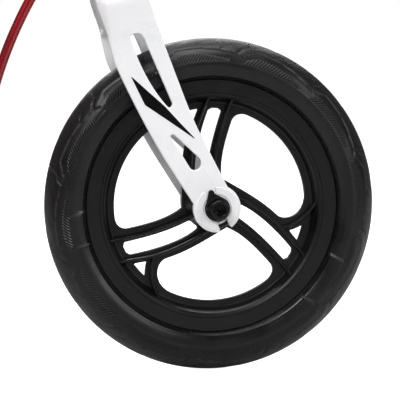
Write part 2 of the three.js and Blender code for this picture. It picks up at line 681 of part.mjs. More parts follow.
function makeSeat() {
  const group = new THREE.Group();
  const stationAt = (z) => (z - SEAT_TUBE_FOOT.z) / Math.cos(SEAT_LEAN);
  const plateTop = SEAT_PLATE_Z + SEAT_PLATE_THICKNESS;
  const tubeLength = sleeve(SEAT_POST_RADIUS - 2, SEAT_POST_RADIUS, SEAT_POST_LOW, stationAt(plateTop + 4))
    .applyMatrix4(seatMatrix);
  const head = onAxis(seatMatrix, stationAt(SEAT_PLATE_Z));
  const above = box([-300, -80, plateTop], [0, 80, plateTop + 36]);
  const flange = box([head.x - 26, -20, SEAT_PLATE_Z], [head.x + 26, 20, plateTop]);
  const post = cut(join(tubeLength, flange), above);
  addPiece(group, 'seat_post', post, blackSteel);

  const shellLow = plateTop + GAP;
  const shellThickness = 5;
  const shellOptions = { depth: shellThickness, bevelEnabled: false, curveSegments: 6 };
  const shell = new THREE.ExtrudeGeometry(saddleOutline(0), shellOptions).translate(head.x, 0, shellLow);
  addPiece(group, 'saddle_shell', shell, blackNylon);

  const bevel = 9;
  const padLow = shellLow + shellThickness + GAP;
  const padOptions = {
    depth: 24,
    bevelThickness: bevel,
    bevelSize: bevel - 1,
    bevelOffset: 1 - bevel,
    bevelSegments: 2,
    curveSegments: 6,
  };
  const pad = new THREE.ExtrudeGeometry(saddleOutline(1), padOptions).translate(head.x, 0, padLow);
  const below = box([-300, -100, padLow - 30], [0, 100, padLow]);
  addPiece(group, 'saddle_pad', cut(pad, below), saddleCover);
  return group;
}

// ---------------------------------------------------------------- the bike

const bike = new THREE.Group();
bike.add(makeWheel('front', AXLE_X, FORK_OUTER, true));
bike.add(makeWheel('rear', -AXLE_X, FORK_INNER + GAP + REAR_END_THICKNESS, false));
bike.add(makeFork());
bike.add(makeSteering());
bike.add(makeStem());
bike.add(makeHandlebar());
bike.add(makeClamp('bar_clamp', steeringOrigin, HEAD_LEAN, STEERER_RADIUS + GAP, STEERER_TOP - 20));
bike.add(makeFrame());
bike.add(makeClamp('seat_clamp', SEAT_TUBE_FOOT, SEAT_LEAN, SEAT_TUBE_RADIUS + GAP, SEAT_TUBE_LENGTH - 16));
bike.add(makeSeat());

export default bike;
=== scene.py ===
"""The looks of a child's balance bike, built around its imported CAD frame.

Millimetres are used while a piece is shaped, and metres once it is an object. +X is forward, +Y is to
the rider's left and +Z is up. Lathes and plates are made about the Y axis, the direction of the axles.
"""

import math

import bmesh
import bpy
from mathutils import Matrix, Vector, noise
from mathutils.bvhtree import BVHTree


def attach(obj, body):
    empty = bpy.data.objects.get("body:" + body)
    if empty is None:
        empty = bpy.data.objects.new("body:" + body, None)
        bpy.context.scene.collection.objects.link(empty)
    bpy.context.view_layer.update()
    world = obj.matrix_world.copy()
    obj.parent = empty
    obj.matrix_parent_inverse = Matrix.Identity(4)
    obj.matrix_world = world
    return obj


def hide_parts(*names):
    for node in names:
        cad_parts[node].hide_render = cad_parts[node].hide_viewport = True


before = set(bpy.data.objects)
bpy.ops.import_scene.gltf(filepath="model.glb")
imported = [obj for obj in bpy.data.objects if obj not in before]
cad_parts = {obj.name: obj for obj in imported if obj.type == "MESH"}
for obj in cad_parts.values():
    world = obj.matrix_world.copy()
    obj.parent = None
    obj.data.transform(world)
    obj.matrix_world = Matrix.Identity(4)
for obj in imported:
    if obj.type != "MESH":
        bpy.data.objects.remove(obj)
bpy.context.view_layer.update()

MM = 0.001
TURN = 2 * math.pi
scene = bpy.context.scene

# ---------------------------------------------------------------- camera, floor and light


def aim(thing, place, target):
    thing.location = place
    thing.rotation_mode = "QUATERNION"
    thing.rotation_quaternion = (Vector(target) - Vector(place)).to_track_quat("-Z", "Y")


def link(thing):
    scene.collection.objects.link(thing)
    return thing


camera = link(bpy.data.objects.new("camera", bpy.data.cameras.new("camera")))
camera.data.lens = 199.5
camera.data.sensor_width = 36
camera.data.clip_end = 100
aim(camera, (-0.0092, -1.9694, 0.3285), (0.2814, 0.0016, 0.1538))
scene.camera = camera

scene.view_settings.view_transform = "Standard"


def area_light(name, place, target, size, power):
    light = link(bpy.data.objects.new(name, bpy.data.lights.new(name, "AREA")))
    light.data.shape = "RECTANGLE"
    light.data.size, light.data.size_y = size
    light.data.energy = power
    aim(light, place, target)


CENTRE = (0.0, 0.0, 0.25)
area_light("key", (-1.3, -1.7, 2.3), CENTRE, (1.3, 1.3), 50)
area_light("fill", (1.9, -1.6, 1.3), CENTRE, (1.4, 1.8), 22)
area_light("back", (0.2, 2.2, 1.9), CENTRE, (2.2, 1.2), 42)
area_light("top", (0.1, -0.2, 2.6), CENTRE, (2.0, 1.2), 38)

world = bpy.data.worlds.new("studio")
world.use_nodes = True
scene.world = world
sky = world.node_tree.nodes["Background"]
path_kind = world.node_tree.nodes.new("ShaderNodeLightPath")
brightness = world.node_tree.nodes.new("ShaderNodeMapRange")
brightness.inputs["To Min"].default_value = 0.14
brightness.inputs["To Max"].default_value = 1.0
world.node_tree.links.new(path_kind.outputs["Is Camera Ray"], brightness.inputs["Value"])
world.node_tree.links.new(brightness.outputs["Result"], sky.inputs["Strength"])
sky.inputs["Color"].default_value = (1, 1, 1, 1)

floor_mesh = bpy.data.meshes.new("floor")
reach = 60.0
floor_mesh.from_pydata([(-reach, -reach, 0), (reach, -reach, 0), (reach, reach, 0), (-reach, reach, 0)], [],
                       [(0, 1, 2, 3)])
floor = link(bpy.data.objects.new("floor", floor_mesh))
floor_paint = bpy.data.materials.new("pale_floor")
floor_paint.use_nodes = True
floor_shader = floor_paint.node_tree.nodes["Principled BSDF"]
floor_shader.inputs["Base Color"].default_value = (0.55, 0.55, 0.55, 1)
floor_shader.inputs["Roughness"].default_value = 0.9
floor_shader.inputs["Emission Color"].default_value = (1, 1, 1, 1)
seen = floor_paint.node_tree.nodes.new("ShaderNodeLightPath")
glow = floor_paint.node_tree.nodes.new("ShaderNodeMapRange")
glow.inputs["To Min"].default_value = 0.04
glow.inputs["To Max"].default_value = 1.0
floor_paint.node_tree.links.new(seen.outputs["Is Camera Ray"], glow.inputs["Value"])
floor_paint.node_tree.links.new(glow.outputs["Result"], floor_shader.inputs["Emission Strength"])
floor_mesh.materials.append(floor_paint)

# ---------------------------------------------------------------- forms: vertices and faces in millimetres


def merged(*forms):
    """Several forms as one, each with its own skin."""
    verts, faces = [], []
    for form_verts, form_faces in forms:
        start = len(verts)
        verts.extend(form_verts)
        faces.extend([start + i for i in face] for face in form_faces)
    return verts, faces


def moved(form, matrix):
    return [matrix @ Vector(v) for v in form[0]], form[1]


def mirrored(form):
    """The same form on the other side of the bike."""
    return [Vector((v[0], -v[1], v[2])) for v in form[0]], [face[::-1] for face in form[1]]


def rounded(points, radius, steps, closed=True):
    """A polyline whose corners are rounded. A point may carry its own radius as a third number."""
    count = len(points)
    result = []
    for i, point in enumerate(points):
        here = Vector(point[:2])
        own = point[2] if len(point) > 2 else radius
        if own <= 0 or (not closed and i in (0, count - 1)):
            result.append(tuple(here))
            continue
        before = Vector(points[i - 1][:2]) - here
        after = Vector(points[(i + 1) % count][:2]) - here
        turn = math.pi - before.angle(after)
        if turn < 0.02:
            result.append(tuple(here))
            continue
        longest = 0.48 * min(before.length, after.length)
        reach = min(own * math.tan(turn / 2), longest)
        start = here + before.normalized() * reach
        end = here + after.normalized() * reach
        for step in range(steps + 1):
            t = step / steps
            result.append(tuple(start * (1 - t) ** 2 + here * 2 * t * (1 - t) + end * t * t))
    return result


def lathe(profile, segments, closed):
    """A profile of (radius, y) turned about Y. An open profile starts and ends on the axis."""
    verts, faces, rings = [], [], []
    for radius, y in profile:
        if radius < 1e-6:
            rings.append([len(verts)] * segments)
            verts.append(Vector((0, y, 0)))
            continue
        rings.append(list(range(len(verts), len(verts) + segments)))
        for i in range(segments):
            angle = TURN * i / segments
            verts.append(Vector((radius * math.cos(angle), y, radius * math.sin(angle))))
    pairs = list(zip(rings, rings[1:]))
    if closed:
        pairs.append((rings[-1], rings[0]))
    for low, high in pairs:
        for i in range(segments):
            j = (i + 1) % segments
            face = [low[i], low[j], high[j], high[i]]
            kept = [v for k, v in enumerate(face) if v != face[k - 1]]
            if len(kept) > 2:
                faces.append(kept)
    return verts, faces


def turned(profile, edge, steps, segments, closed=True):
    """A profile with rounded corners turned about Y. Each point may carry its own radius."""
    return lathe(rounded(profile, edge, steps, closed=closed), segments, closed=closed)


def frames_along(points, first_side):
    """Position, side and upward direction at each point of a path, without twist."""
    result = []
    side = Vector(first_side)
    for i, point in enumerate(points):
        ahead = points[min(i + 1, len(points) - 1)] - points[max(i - 1, 0)]
        ahead.normalize()
        side = (side - ahead * side.dot(ahead)).normalized()
        result.append((point, side, ahead.cross(side)))
    return result


def loft(sections, ring=False):
    """Rings of points joined into a skin, with flat ends or closed round on itself."""
    count = len(sections[0])
    verts = [Vector(p) for section in sections for p in section]
    faces = []
    last = len(sections) if ring else len(sections) - 1
    for k in range(last):
        low, high = k * count, ((k + 1) % len(sections)) * count
        for i in range(count):
            j = (i + 1) % count
            faces.append([low + i, low + j, high + j, high + i])
    if not ring:
        faces.append(list(range(count))[::-1])
        faces.append(list(range(len(verts) - count, len(verts))))
    return verts, faces


def oval_at(place, across, up, wide, tall, sides):
    """Points on an oval whose half axes lie along two directions at right angles."""
    angles = [TURN * i / sides for i in range(sides)]
    return [place + across * (wide * math.cos(a)) + up * (tall * math.sin(a)) for a in angles]


def circle_at(place, across, up, radius, sides):
    return oval_at(place, across, up, radius, radius, sides)


def sweep(points, radius, sides, side=(0, 1, 0)):
    """A round bar along a path. The radius may be a function of the position from 0 to 1."""
    points = [Vector(p) for p in points]
    sections = []
    for k, (place, across, up) in enumerate(frames_along(points, side)):
        r = radius(k / (len(points) - 1)) if callable(radius) else radius
        sections.append(circle_at(place, across, up, r, sides))
    return loft(sections)


def sweep_ring(points, radius, sides):
    """A round bar along a closed line in a level plane."""
    up = Vector((0, 0, 1))
    sections = []
    for k, place in enumerate(points):
        ahead = (points[(k + 1) % len(points)] - points[k - 1]).normalized()
        sections.append(circle_at(place, ahead.cross(up), up, radius, sides))
    return loft(sections, ring=True)


def catmull(points, steps):
    """A smooth line through points, in the centripetal form that the CAD tubes use."""
    points = [Vector(p) for p in points]
    padded = [points[0] * 2 - points[1], *points, points[-1] * 2 - points[-2]]
    result = []
    for i in range(1, len(padded) - 2):
        p0, p1, p2, p3 = padded[i - 1:i + 3]
        d01, d12, d23 = ((b - a).length ** 0.5 for a, b in ((p0, p1), (p1, p2), (p2, p3)))
        m1 = (p2 - p1) + ((p1 - p0) / d01 - (p2 - p0) / (d01 + d12)) * d12
        m2 = (p2 - p1) + ((p3 - p2) / d23 - (p3 - p1) / (d12 + d23)) * d12
        for step in range(steps):
            t = step / steps
            result.append(p1 * (2 * t ** 3 - 3 * t * t + 1) + m1 * (t ** 3 - 2 * t * t + t)
                          + p2 * (3 * t * t - 2 * t ** 3) + m2 * (t ** 3 - t * t))
    return [*result, points[-1]]


def bezier(start, *controls, steps=10):
    """Points along a quadratic or cubic curve, without its start."""
    points = [Vector(p) for p in (start, *controls)]
    result = []
    for step in range(1, steps + 1):
        level = points
        t = step / steps
        while len(level) > 1:
            level = [a.lerp(b, t) for a, b in zip(level, level[1:])]
        result.append(tuple(level[0]))
    return result


def arc(centre, radius, start, end, steps):
    """Points on a circle from one angle to another, in degrees."""
    angles = [math.radians(start + (end - start) * k / steps) for k in range(steps + 1)]
    return [(centre[0] + radius * math.cos(a), centre[1] + radius * math.sin(a)) for a in angles]


def plate(loops, half, edge, steps):
    """A flat plate in X and Z, half thick to either side of y = 0, with rounded edges. The first loop is its
    outline and the rest are openings."""
    curve = bpy.data.curves.new("outline", "CURVE")
    curve.dimensions = "2D"
    curve.fill_mode = "BOTH"
    curve.extrude = max(half - edge, 0)
    curve.bevel_depth = edge
    curve.bevel_resolution = steps
    curve.offset = -edge
    for loop in loops:
        spline = curve.splines.new("POLY")
        spline.points.add(len(loop) - 1)
        for place, (x, z) in zip(spline.points, loop):
            place.co = (x, z, 0, 1)
        spline.use_cyclic_u = True
    holder = bpy.data.objects.new("outline", curve)
    mesh = bpy.data.meshes.new_from_object(holder)
    verts = [Vector((v.co.x, -v.co.z, v.co.y)) for v in mesh.vertices]
    faces = [list(p.vertices) for p in mesh.polygons]
    bpy.data.objects.remove(holder)
    bpy.data.curves.remove(curve)
    bpy.data.meshes.remove(mesh)
    return verts, faces


def block(low, high, edge, steps=2):
    """A box with rounded edges."""
    shape = bmesh.new()
    bmesh.ops.create_cube(shape, size=1)
    size = [b - a for a, b in zip(low, high)]
    for vert in shape.verts:
        vert.co = Vector(((vert.co[k] + 0.5) * size[k] + low[k]) for k in range(3))
    bmesh.ops.bevel(shape, geom=shape.edges[:], offset=edge, segments=steps, affect="EDGES", profile=0.5)
    return from_bmesh(shape)


def from_bmesh(shape):
    """The form that a bmesh holds. The bmesh is freed."""
    shape.verts.index_update()
    form = [v.co.copy() for v in shape.verts], [[v.index for v in f.verts] for f in shape.faces]
    shape.free()
    return form


def to_bmesh(form, scale=1.0):
    """A new bmesh of a form. Faces that repeat one another or a corner are left out."""
    shape = bmesh.new()
    made = [shape.verts.new(Vector(v) * scale) for v in form[0]]
    for face in form[1]:
        try:
            shape.faces.new([made[i] for i in face])
        except ValueError:
            pass
    return shape


def combined(operation, *forms):
    """A boolean of the first form with each of the others."""
    holders = []
    for form in forms:
        shape = to_bmesh(form, MM)
        bmesh.ops.remove_doubles(shape, verts=shape.verts[:], dist=2e-6)
        bmesh.ops.recalc_face_normals(shape, faces=shape.faces[:])
        mesh = bpy.data.meshes.new("part")
        shape.to_mesh(mesh)
        shape.free()
        holders.append(link(bpy.data.objects.new("part", mesh)))
    whole = holders[0]
    for other in holders[1:]:
        step = whole.modifiers.new("join", "BOOLEAN")
        step.operation = operation
        step.solver = "EXACT"
        step.object = other
    evaluated = whole.evaluated_get(bpy.context.evaluated_depsgraph_get())
    mesh = bpy.data.meshes.new_from_object(evaluated)
    form = [v.co / MM for v in mesh.vertices], [list(p.vertices) for p in mesh.polygons]
    bpy.data.meshes.remove(mesh)
    for holder in holders:
        bpy.data.meshes.remove(holder.data)
    return form


def fused(*forms):
    """One skin around overlapping closed forms."""
    return combined("UNION", *forms)


def carved(form, *tools):
    """The form with the tools' space taken out of it."""
    return combined("DIFFERENCE", form, *tools)


def piece(name, form, material, body, node=None, crease=35):
    """An object of the bike from a form, in the row frame. Edges sharper than crease degrees stay sharp."""
    shape = to_bmesh(form, MM)
    bmesh.ops.remove_doubles(shape, verts=shape.verts[:], dist=2e-6)
    bmesh.ops.dissolve_degenerate(shape, edges=shape.edges[:], dist=1e-7)
    bmesh.ops.recalc_face_normals(shape, faces=shape.faces[:])
    mesh = bpy.data.meshes.new(name)
    shape.to_mesh(mesh)
    shape.free()
    mesh.materials.append(material)
    thing = link(bpy.data.objects.new(name, mesh))
    mesh.shade_smooth()
    mesh.set_sharp_from_angle(angle=math.radians(crease))
    even = thing.modifiers.new("even_shading", "WEIGHTED_NORMAL")
    even.keep_sharp = True
    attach(thing, body)
    if node:
        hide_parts(node)

# ---------------------------------------------------------------- materials


class Finish:
    """A Principled material whose patterns are worked out in the object's own metres."""

    def __init__(self, name, **sockets):
        self.material = bpy.data.materials.new(name)
        self.material.use_nodes = True
        self.tree = self.material.node_tree
        self.shader = self.tree.nodes["Principled BSDF"]
        for socket, value in sockets.items():
            self.shader.inputs[socket.replace("_", " ")].default_value = value
        self.place = self.add("ShaderNodeTexCoord").outputs["Object"]
        self.relief = None

    def add(self, kind, links=(), **settings):
        node = self.tree.nodes.new(kind)
        for setting, value in settings.items():
            if hasattr(node, setting):
                setattr(node, setting, value)
            else:
                node.inputs[setting.replace("_", " ")].default_value = value
        for socket, source in dict(links).items():
            self.tree.links.new(source, node.inputs[socket])
        return node

    def noise(self, size, detail=3, roughness=0.5, place=None):
        """Soft cloudy noise whose features are about this many millimetres across."""
        return self.add("ShaderNodeTexNoise", {"Vector": place or self.place}, Scale=1000 / size,
                        Detail=detail, Roughness=roughness).outputs["Fac"]

    def cloud(self, size, low, high, detail=4, roughness=0.5):
        """That noise spread over two values, or over two colours."""
        if isinstance(low, tuple):
            return self.blend(self.cloud(size, 0, 1, detail, roughness), low, high)
        return self.spread(self.noise(size, detail, roughness), low, high)

    def cells(self, size, feature="F1"):
        node = self.add("ShaderNodeTexVoronoi", {"Vector": self.place}, feature=feature, Scale=1000 / size)
        return node.outputs["Distance"]

    def math(self, operation, a, b=0.0):
        node = self.add("ShaderNodeMath", operation=operation)
        for socket, value in ((0, a), (1, b)):
            if isinstance(value, (int, float)):
                node.inputs[socket].default_value = value
            else:
                self.tree.links.new(value, node.inputs[socket])
        return node.outputs[0]

    def spread(self, value, low, high, start=0.3, stop=0.7):
        """Maps a pattern's range from start to stop onto low to high."""
        node = self.add("ShaderNodeMapRange", {"Value": value}, interpolation_type="SMOOTHSTEP")
        for socket, number in (("From Min", start), ("From Max", stop), ("To Min", low), ("To Max", high)):
            node.inputs[socket].default_value = number
        return node.outputs["Result"]

    def blend(self, share, low, high):
        """A colour between two, each a colour or a socket."""
        node = self.add("ShaderNodeMix", {"Factor": share}, data_type="RGBA")
        for socket, value in ((node.inputs[6], low), (node.inputs[7], high)):
            if isinstance(value, tuple):
                socket.default_value = (*value, 1)
            else:
                self.tree.links.new(value, socket)
        return node.outputs[2]

    def edges(self, start=0.52, stop=0.6):
        """One where the surface is sharply convex, as where paint wears first."""
        return self.spread(self.add("ShaderNodeNewGeometry").outputs["Pointiness"], 0, 1, start, stop)

    def colour(self, value):
        self.tree.links.new(value, self.shader.inputs["Base Color"])

    def rough(self, value):
        self.tree.links.new(value, self.shader.inputs["Roughness"])

    def bump(self, height, depth):
        """Adds relief that many millimetres deep."""
        node = self.add("ShaderNodeBump", {"Height": height}, Strength=1.0, Distance=depth * MM)
        if self.relief:
            self.tree.links.new(self.relief, node.inputs["Normal"])
        self.relief = node.outputs["Normal"]
        self.tree.links.new(self.relief, self.shader.inputs["Normal"])


def foam_rubber():
    made = Finish("foam_rubber", Specular_IOR_Level=0.36)
    body = made.cloud(38, (0.0034, 0.0033, 0.0034), (0.0064, 0.0062, 0.0063), 5)
    height = made.add("ShaderNodeAttribute", attribute_name="relief").outputs["Fac"]
    line = made.add("ShaderNodeAttribute", attribute_name="line").outputs["Fac"]
    # Painted shade: the colour darkens in the grooves, more where they are deeper.
    cut = made.spread(height, 1, 0, -0.9, -0.1)
    body = made.blend(made.math("MULTIPLY", cut, 0.8), body, (0.0012, 0.0012, 0.0012))
    # Painted highlight: the raised tops of the ribs are lighter.
    crest_highlight = made.spread(height, 0, 1, 0.1, 0.6)
    body = made.blend(made.math("MULTIPLY", crest_highlight, 0.6), body, (0.03, 0.0295, 0.03))
    # Painted highlight: a light colour along the mould's small ridges and the panels' ends.
    made.colour(made.blend(made.math("MULTIPLY", line, 0.85), body, (0.085, 0.084, 0.085)))
    uneven = made.cloud(22, 0.34, 0.46)
    uv = made.add("ShaderNodeUVMap", uv_map="round")
    parts = made.add("ShaderNodeSeparateXYZ", {"Vector": uv.outputs["UV"]})
    round_way, across = parts.outputs["X"], parts.outputs["Y"]
    skin = made.spread(made.math("ABSOLUTE", across), 0, 0.14, 3.9, 4.4)
    made.rough(made.math("SUBTRACT", uneven, skin))
    made.bump(made.noise(0.5, 2), 0.02)
    lean = made.math("MULTIPLY", made.math("ABSOLUTE", across), 1.9)
    stripes = made.math("PINGPONG", made.math("ADD", made.math("MULTIPLY", round_way, 48.0), lean), 0.5)
    on_cap = made.spread(made.math("ABSOLUTE", across), 1, 0, 1.3, 1.9)
    made.bump(made.math("MULTIPLY", made.spread(stripes, 0, 1, 0.1, 0.4), on_cap), 0.1)
    return made.material


def moulded_nylon():
    made = Finish("moulded_nylon", Specular_IOR_Level=0.3)
    made.colour(made.cloud(30, (0.0038, 0.0038, 0.0039), (0.0068, 0.0067, 0.0068)))
    made.rough(made.cloud(14, 0.3, 0.4))
    made.bump(made.cells(0.7), 0.06)
    made.bump(made.noise(60, 2), 0.12)
    return made.material


def white_paint():
    made = Finish("white_paint", Specular_IOR_Level=0.5, Coat_Weight=0.7, Coat_Roughness=0.06)
    made.colour(made.cloud(45, (0.934, 0.934, 0.950), (0.946, 0.946, 0.960)))
    made.rough(made.cloud(16, 0.26, 0.36, 3))
    made.bump(made.noise(2.6, 2), 0.012)
    return made.material


def red_paint():
    made = Finish("red_paint", Metallic=0.72, Coat_Weight=1.0, Coat_Roughness=0.05, Specular_IOR_Level=0.5)
    flakes = made.add("ShaderNodeTexVoronoi", {"Vector": made.place}, Scale=1000 / 0.35)
    tone = made.cloud(60, (0.31, 0.002, 0.009), (0.39, 0.0035, 0.012), 3)
    sparkle = made.math("MULTIPLY", made.spread(flakes.outputs["Color"], 0, 1, 0.45, 0.95), 0.35)
    made.colour(made.blend(sparkle, tone, (0.62, 0.02, 0.035)))
    made.rough(made.spread(flakes.outputs["Color"], 0.26, 0.42, 0.1, 0.9))
    made.bump(made.noise(3.2, 2), 0.012)
    return made.material


def black_oxide(name="black_oxide", dark=0.011, light=0.024, rough=(0.3, 0.5)):
    made = Finish(name, Metallic=0.85, Specular_IOR_Level=0.5)
    tone = made.cloud(5, (dark,) * 3, (light,) * 3, 5, 0.6)
    made.colour(made.blend(made.math("MULTIPLY", made.edges(), 0.6), tone, (0.16, 0.155, 0.15)))
    made.rough(made.cloud(3, *rough))
    made.bump(made.noise(0.7, 3), 0.012)
    return made.material


def bright_steel():
    made = Finish("bright_steel", Metallic=1.0)
    stretched = made.add("ShaderNodeMapping", {"Vector": made.place})
    stretched.inputs["Scale"].default_value = (1, 12, 1)
    made.colour(made.cloud(6, (0.50, 0.51, 0.53), (0.62, 0.63, 0.65)))
    made.rough(made.spread(made.noise(1.5, 3, place=stretched.outputs["Vector"]), 0.16, 0.32))
    made.bump(made.noise(0.8, 2, place=stretched.outputs["Vector"]), 0.006)
    return made.material


def black_anodised():
    made = Finish("black_anodised", Metallic=0.8, Specular_IOR_Level=0.5)
    tone = made.cloud(18, (0.026, 0.026, 0.028), (0.040, 0.040, 0.043))
    made.colour(made.blend(made.math("MULTIPLY", made.edges(0.53, 0.62), 0.35), tone, (0.2, 0.2, 0.21)))
    made.rough(made.cloud(4, 0.34, 0.46, 3))
    made.bump(made.cells(0.3), 0.01)
    return made.material


def soft_rubber():
    made = Finish("soft_rubber", Specular_IOR_Level=0.35, Sheen_Weight=0.15, Sheen_Roughness=0.5)
    made.colour(made.cloud(12, (0.012, 0.012, 0.0125), (0.021, 0.021, 0.022)))
    made.rough(made.cloud(7, 0.66, 0.82, 3))
    made.bump(made.cells(0.45), 0.03)
    return made.material


def saddle_vinyl():
    made = Finish("saddle_vinyl", Specular_IOR_Level=0.45, Sheen_Weight=0.1, Sheen_Roughness=0.4)
    made.colour(made.cloud(26, (0.014, 0.014, 0.015), (0.024, 0.023, 0.024), 5))
    grain = made.cells(1.5, "DISTANCE_TO_EDGE")
    made.rough(made.spread(grain, 0.66, 0.46, 0.0, 0.25))
    made.bump(made.spread(grain, 0, 1, 0.0, 0.22), 0.09)
    made.bump(made.noise(0.5, 2), 0.015)
    return made.material


def gloss_black_film():
    made = Finish("gloss_black_film", Specular_IOR_Level=0.15, Coat_Weight=0.12, Coat_Roughness=0.08)
    made.colour(made.cloud(9, (0.0012, 0.0012, 0.0014), (0.0024, 0.0024, 0.0026), 3))
    made.rough(made.cloud(5, 0.3, 0.4, 3))
    made.bump(made.noise(2.2, 2), 0.01)
    return made.material


def sewing_thread():
    made = Finish("sewing_thread", Sheen_Weight=0.3)
    made.colour(made.cloud(0.8, (0.10, 0.10, 0.105), (0.19, 0.19, 0.195), 3))
    made.rough(made.cloud(0.6, 0.7, 0.9, 2))
    made.bump(made.noise(0.3, 2), 0.04)
    return made.material


FOAM = foam_rubber()
NYLON = moulded_nylon()
WHITE = white_paint()
RED = red_paint()
OXIDE = black_oxide()
BOLT_BLACK = black_oxide("polished_black_steel", 0.004, 0.009, (0.14, 0.24))
STEEL = bright_steel()
ANODISED = black_anodised()
RUBBER = soft_rubber()
VINYL = saddle_vinyl()
FILM = gloss_black_film()
THREAD = sewing_thread()

CAD_FINISH = {
    "foam_tyre": FOAM, "black_nylon": NYLON, "white_paint": WHITE, "red_paint": RED, "black_steel": OXIDE,
    "bearing_steel": STEEL, "black_aluminium": ANODISED, "grip_rubber": RUBBER, "saddle_cover": VINYL,
}
SLOT_OF = {material: slot for slot, material in CAD_FINISH.items()}
SLOT_OF.update({FILM: "white_paint", BOLT_BLACK: "black_steel", THREAD: "saddle_cover"})

# ---------------------------------------------------------------- wheels

AXLE_HEIGHT = 150.0
AXLE_REACH = 290  # from the middle of the bike forward to one axle and back to the other
FRONT_AXLE = Matrix.Translation((AXLE_REACH, 0, AXLE_HEIGHT))
REAR_AXLE = Matrix.Translation((-AXLE_REACH, 0, AXLE_HEIGHT))

# Half of the tyre's section from the rim's edge to the middle of the tread: radius, distance from centre.
TYRE_SIDE = [(113.4, 16.0), (114.2, 17.9), (116.0, 19.9), (119.0, 21.9), (123.0, 23.4), (127.5, 23.95),
             (131.5, 23.4), (135.5, 21.7), (139.2, 18.9), (142.4, 15.5), (145.2, 11.6), (147.6, 7.2),
             (149.1, 3.4), (149.6, 0.0)]
SECTORS = 12
SECTOR = 360 / SECTORS
TREAD_PHASE = 21.0  # angle of one pattern start, in degrees from forward towards up
RIB_LEAN = -0.33  # degrees that the pattern leans back for each millimetre of radius
FIRST_RIB, LAST_RIB, RIB_PITCH = 4.2, 28.2, 1.2


def smooth_step(value, low, high):
    """Zero up to low, one from high on, and a smooth rise between."""
    t = min(max((value - low) / (high - low), 0.0), 1.0)
    return t * t * (3 - 2 * t)


def line_value(points, x):
    """Height of a broken line at x."""
    for (x0, y0), (x1, y1) in zip(points, points[1:]):
        if x <= x1:
            return y0 + (y1 - y0) * (x - x0) / (x1 - x0)
    return points[-1][1]


def distance_to_line(x, y, points):
    nearest = 1e9
    for (x0, y0), (x1, y1) in zip(points, points[1:]):
        dx, dy = x1 - x0, y1 - y0
        t = min(max(((x - x0) * dx + (y - y0) * dy) / (dx * dx + dy * dy), 0.0), 1.0)
        nearest = min(nearest, math.hypot(x - x0 - dx * t, y - y0 - dy * t))
    return nearest


DEGREE_LENGTH = 2.36  # millimetres along the tread for each degree
# In the pattern's own degrees and millimetres: the step from the shoulder up to the tread, and its grooves.
TREAD_EDGE = [(0, 137.4), (2.1, 134.6), (4.3, 138.6), (7.5, 142.2), (17.4, 141.6), (18.4, 140.9),
              (23.6, 140.0), (24.6, 139.0), (28.2, 138.3), (30, 137.4)]
GROOVES = [
    ([(-0.2, 137.8), (2.1, 134.5)], 0.75, 1.3),
    ([(2.1, 134.5), (4.0, 138.0)], 0.5, 0.8),
    ([(0.0, 137.6), (1.0, 140.6), (3.6, 144.2), (8.4, 147.2), (15.0, 149.4)], 0.8, 1.1),
    ([(14.5, 143.8), (18.0, 146.2), (23.5, 148.2)], 0.6, 0.9),
    ([(24.2, 141.8), (27.5, 144.2), (31.5, 146.0)], 0.6, 0.9),
]
# Lines of the mould's small ridges, which the tyre's colour also paints as highlight lines.
EDGE_LINES = [
    [(5.5, 140.0), (7.5, 142.5), (16.0, 141.8)],
    [(18.0, 141.3), (23.0, 140.3)],
    [(25.0, 139.0), (27.0, 138.5)],
    [(1.4, 140.8), (3.6, 144.0)],
]
for line in [groove[0] for groove in GROOVES] + EDGE_LINES:
    line[:] = [(x * DEGREE_LENGTH, y) for x, y in line]


def tread_relief(angle, radius):
    """How far the tread stands above the smooth tyre, in millimetres. The angle is the pattern's own."""
    if radius < 127.5:
        return 0.0
    edge = line_value(TREAD_EDGE, angle)
    relief = -0.7 * smooth_step(radius, 127.5, 131) * (1 - smooth_step(radius, edge - 0.35, edge + 0.35))
    for line, half_width, depth in GROOVES:
        for x in (angle * DEGREE_LENGTH, (angle - SECTOR) * DEGREE_LENGTH, (angle + SECTOR) * DEGREE_LENGTH):
            away = distance_to_line(x, radius, line)
            if away < half_width + 0.7:
                shallow = 1 - 0.85 * smooth_step(radius, 139, 145)
                cut = 1 - smooth_step(away, half_width * 0.4, half_width + 0.6)
                relief = min(relief, -depth * shallow * cut)
    return relief


def rib_relief(column, radius):
    """Ribs between the slanting cuts on the shoulder. The column runs with the lean of the cuts."""
    if not FIRST_RIB <= column <= LAST_RIB or not 129 < radius < 139:
        return 0.0
    share = (column - FIRST_RIB) / (LAST_RIB - FIRST_RIB)
    top = 130.6 + 6.4 * smooth_step(share, -0.12, 0.16) * (1 - smooth_step(share, 0.25, 1.25))
    band = smooth_step(radius, 129.4, 130.2) * (1 - smooth_step(radius, top - 0.6, top + 0.6))
    phase = ((column - FIRST_RIB) / RIB_PITCH) % 1
    return 1.0 * band * (0.62 if 0.2 < phase < 0.7 else -0.38)


# Smooth raised panels low on the sidewall: first and last angle.
PANELS = [(-44.5, -23.0), (182.5, 196.0)]


def inside_panel(angle, radius):
    """How far a point is within the nearest panel's ends, in millimetres."""
    best = -99.0
    for first, last in PANELS:
        slant = (radius - 122) * 0.17
        x = (angle - (first + slant) + 180) % 360 - 180
        y = ((last - 0.2 * slant) - angle + 180) % 360 - 180
        best = max(best, min(x, y) * 2.15)
    return best


def panel_relief(angle, radius):
    """How far the panels stand above the smooth tyre, in millimetres."""
    up = smooth_step(inside_panel(angle, radius), -0.7, 0.7) * smooth_step(radius, 116.4, 117.8)
    return 0.9 * up * (1 - smooth_step(radius, 129.5, 133))


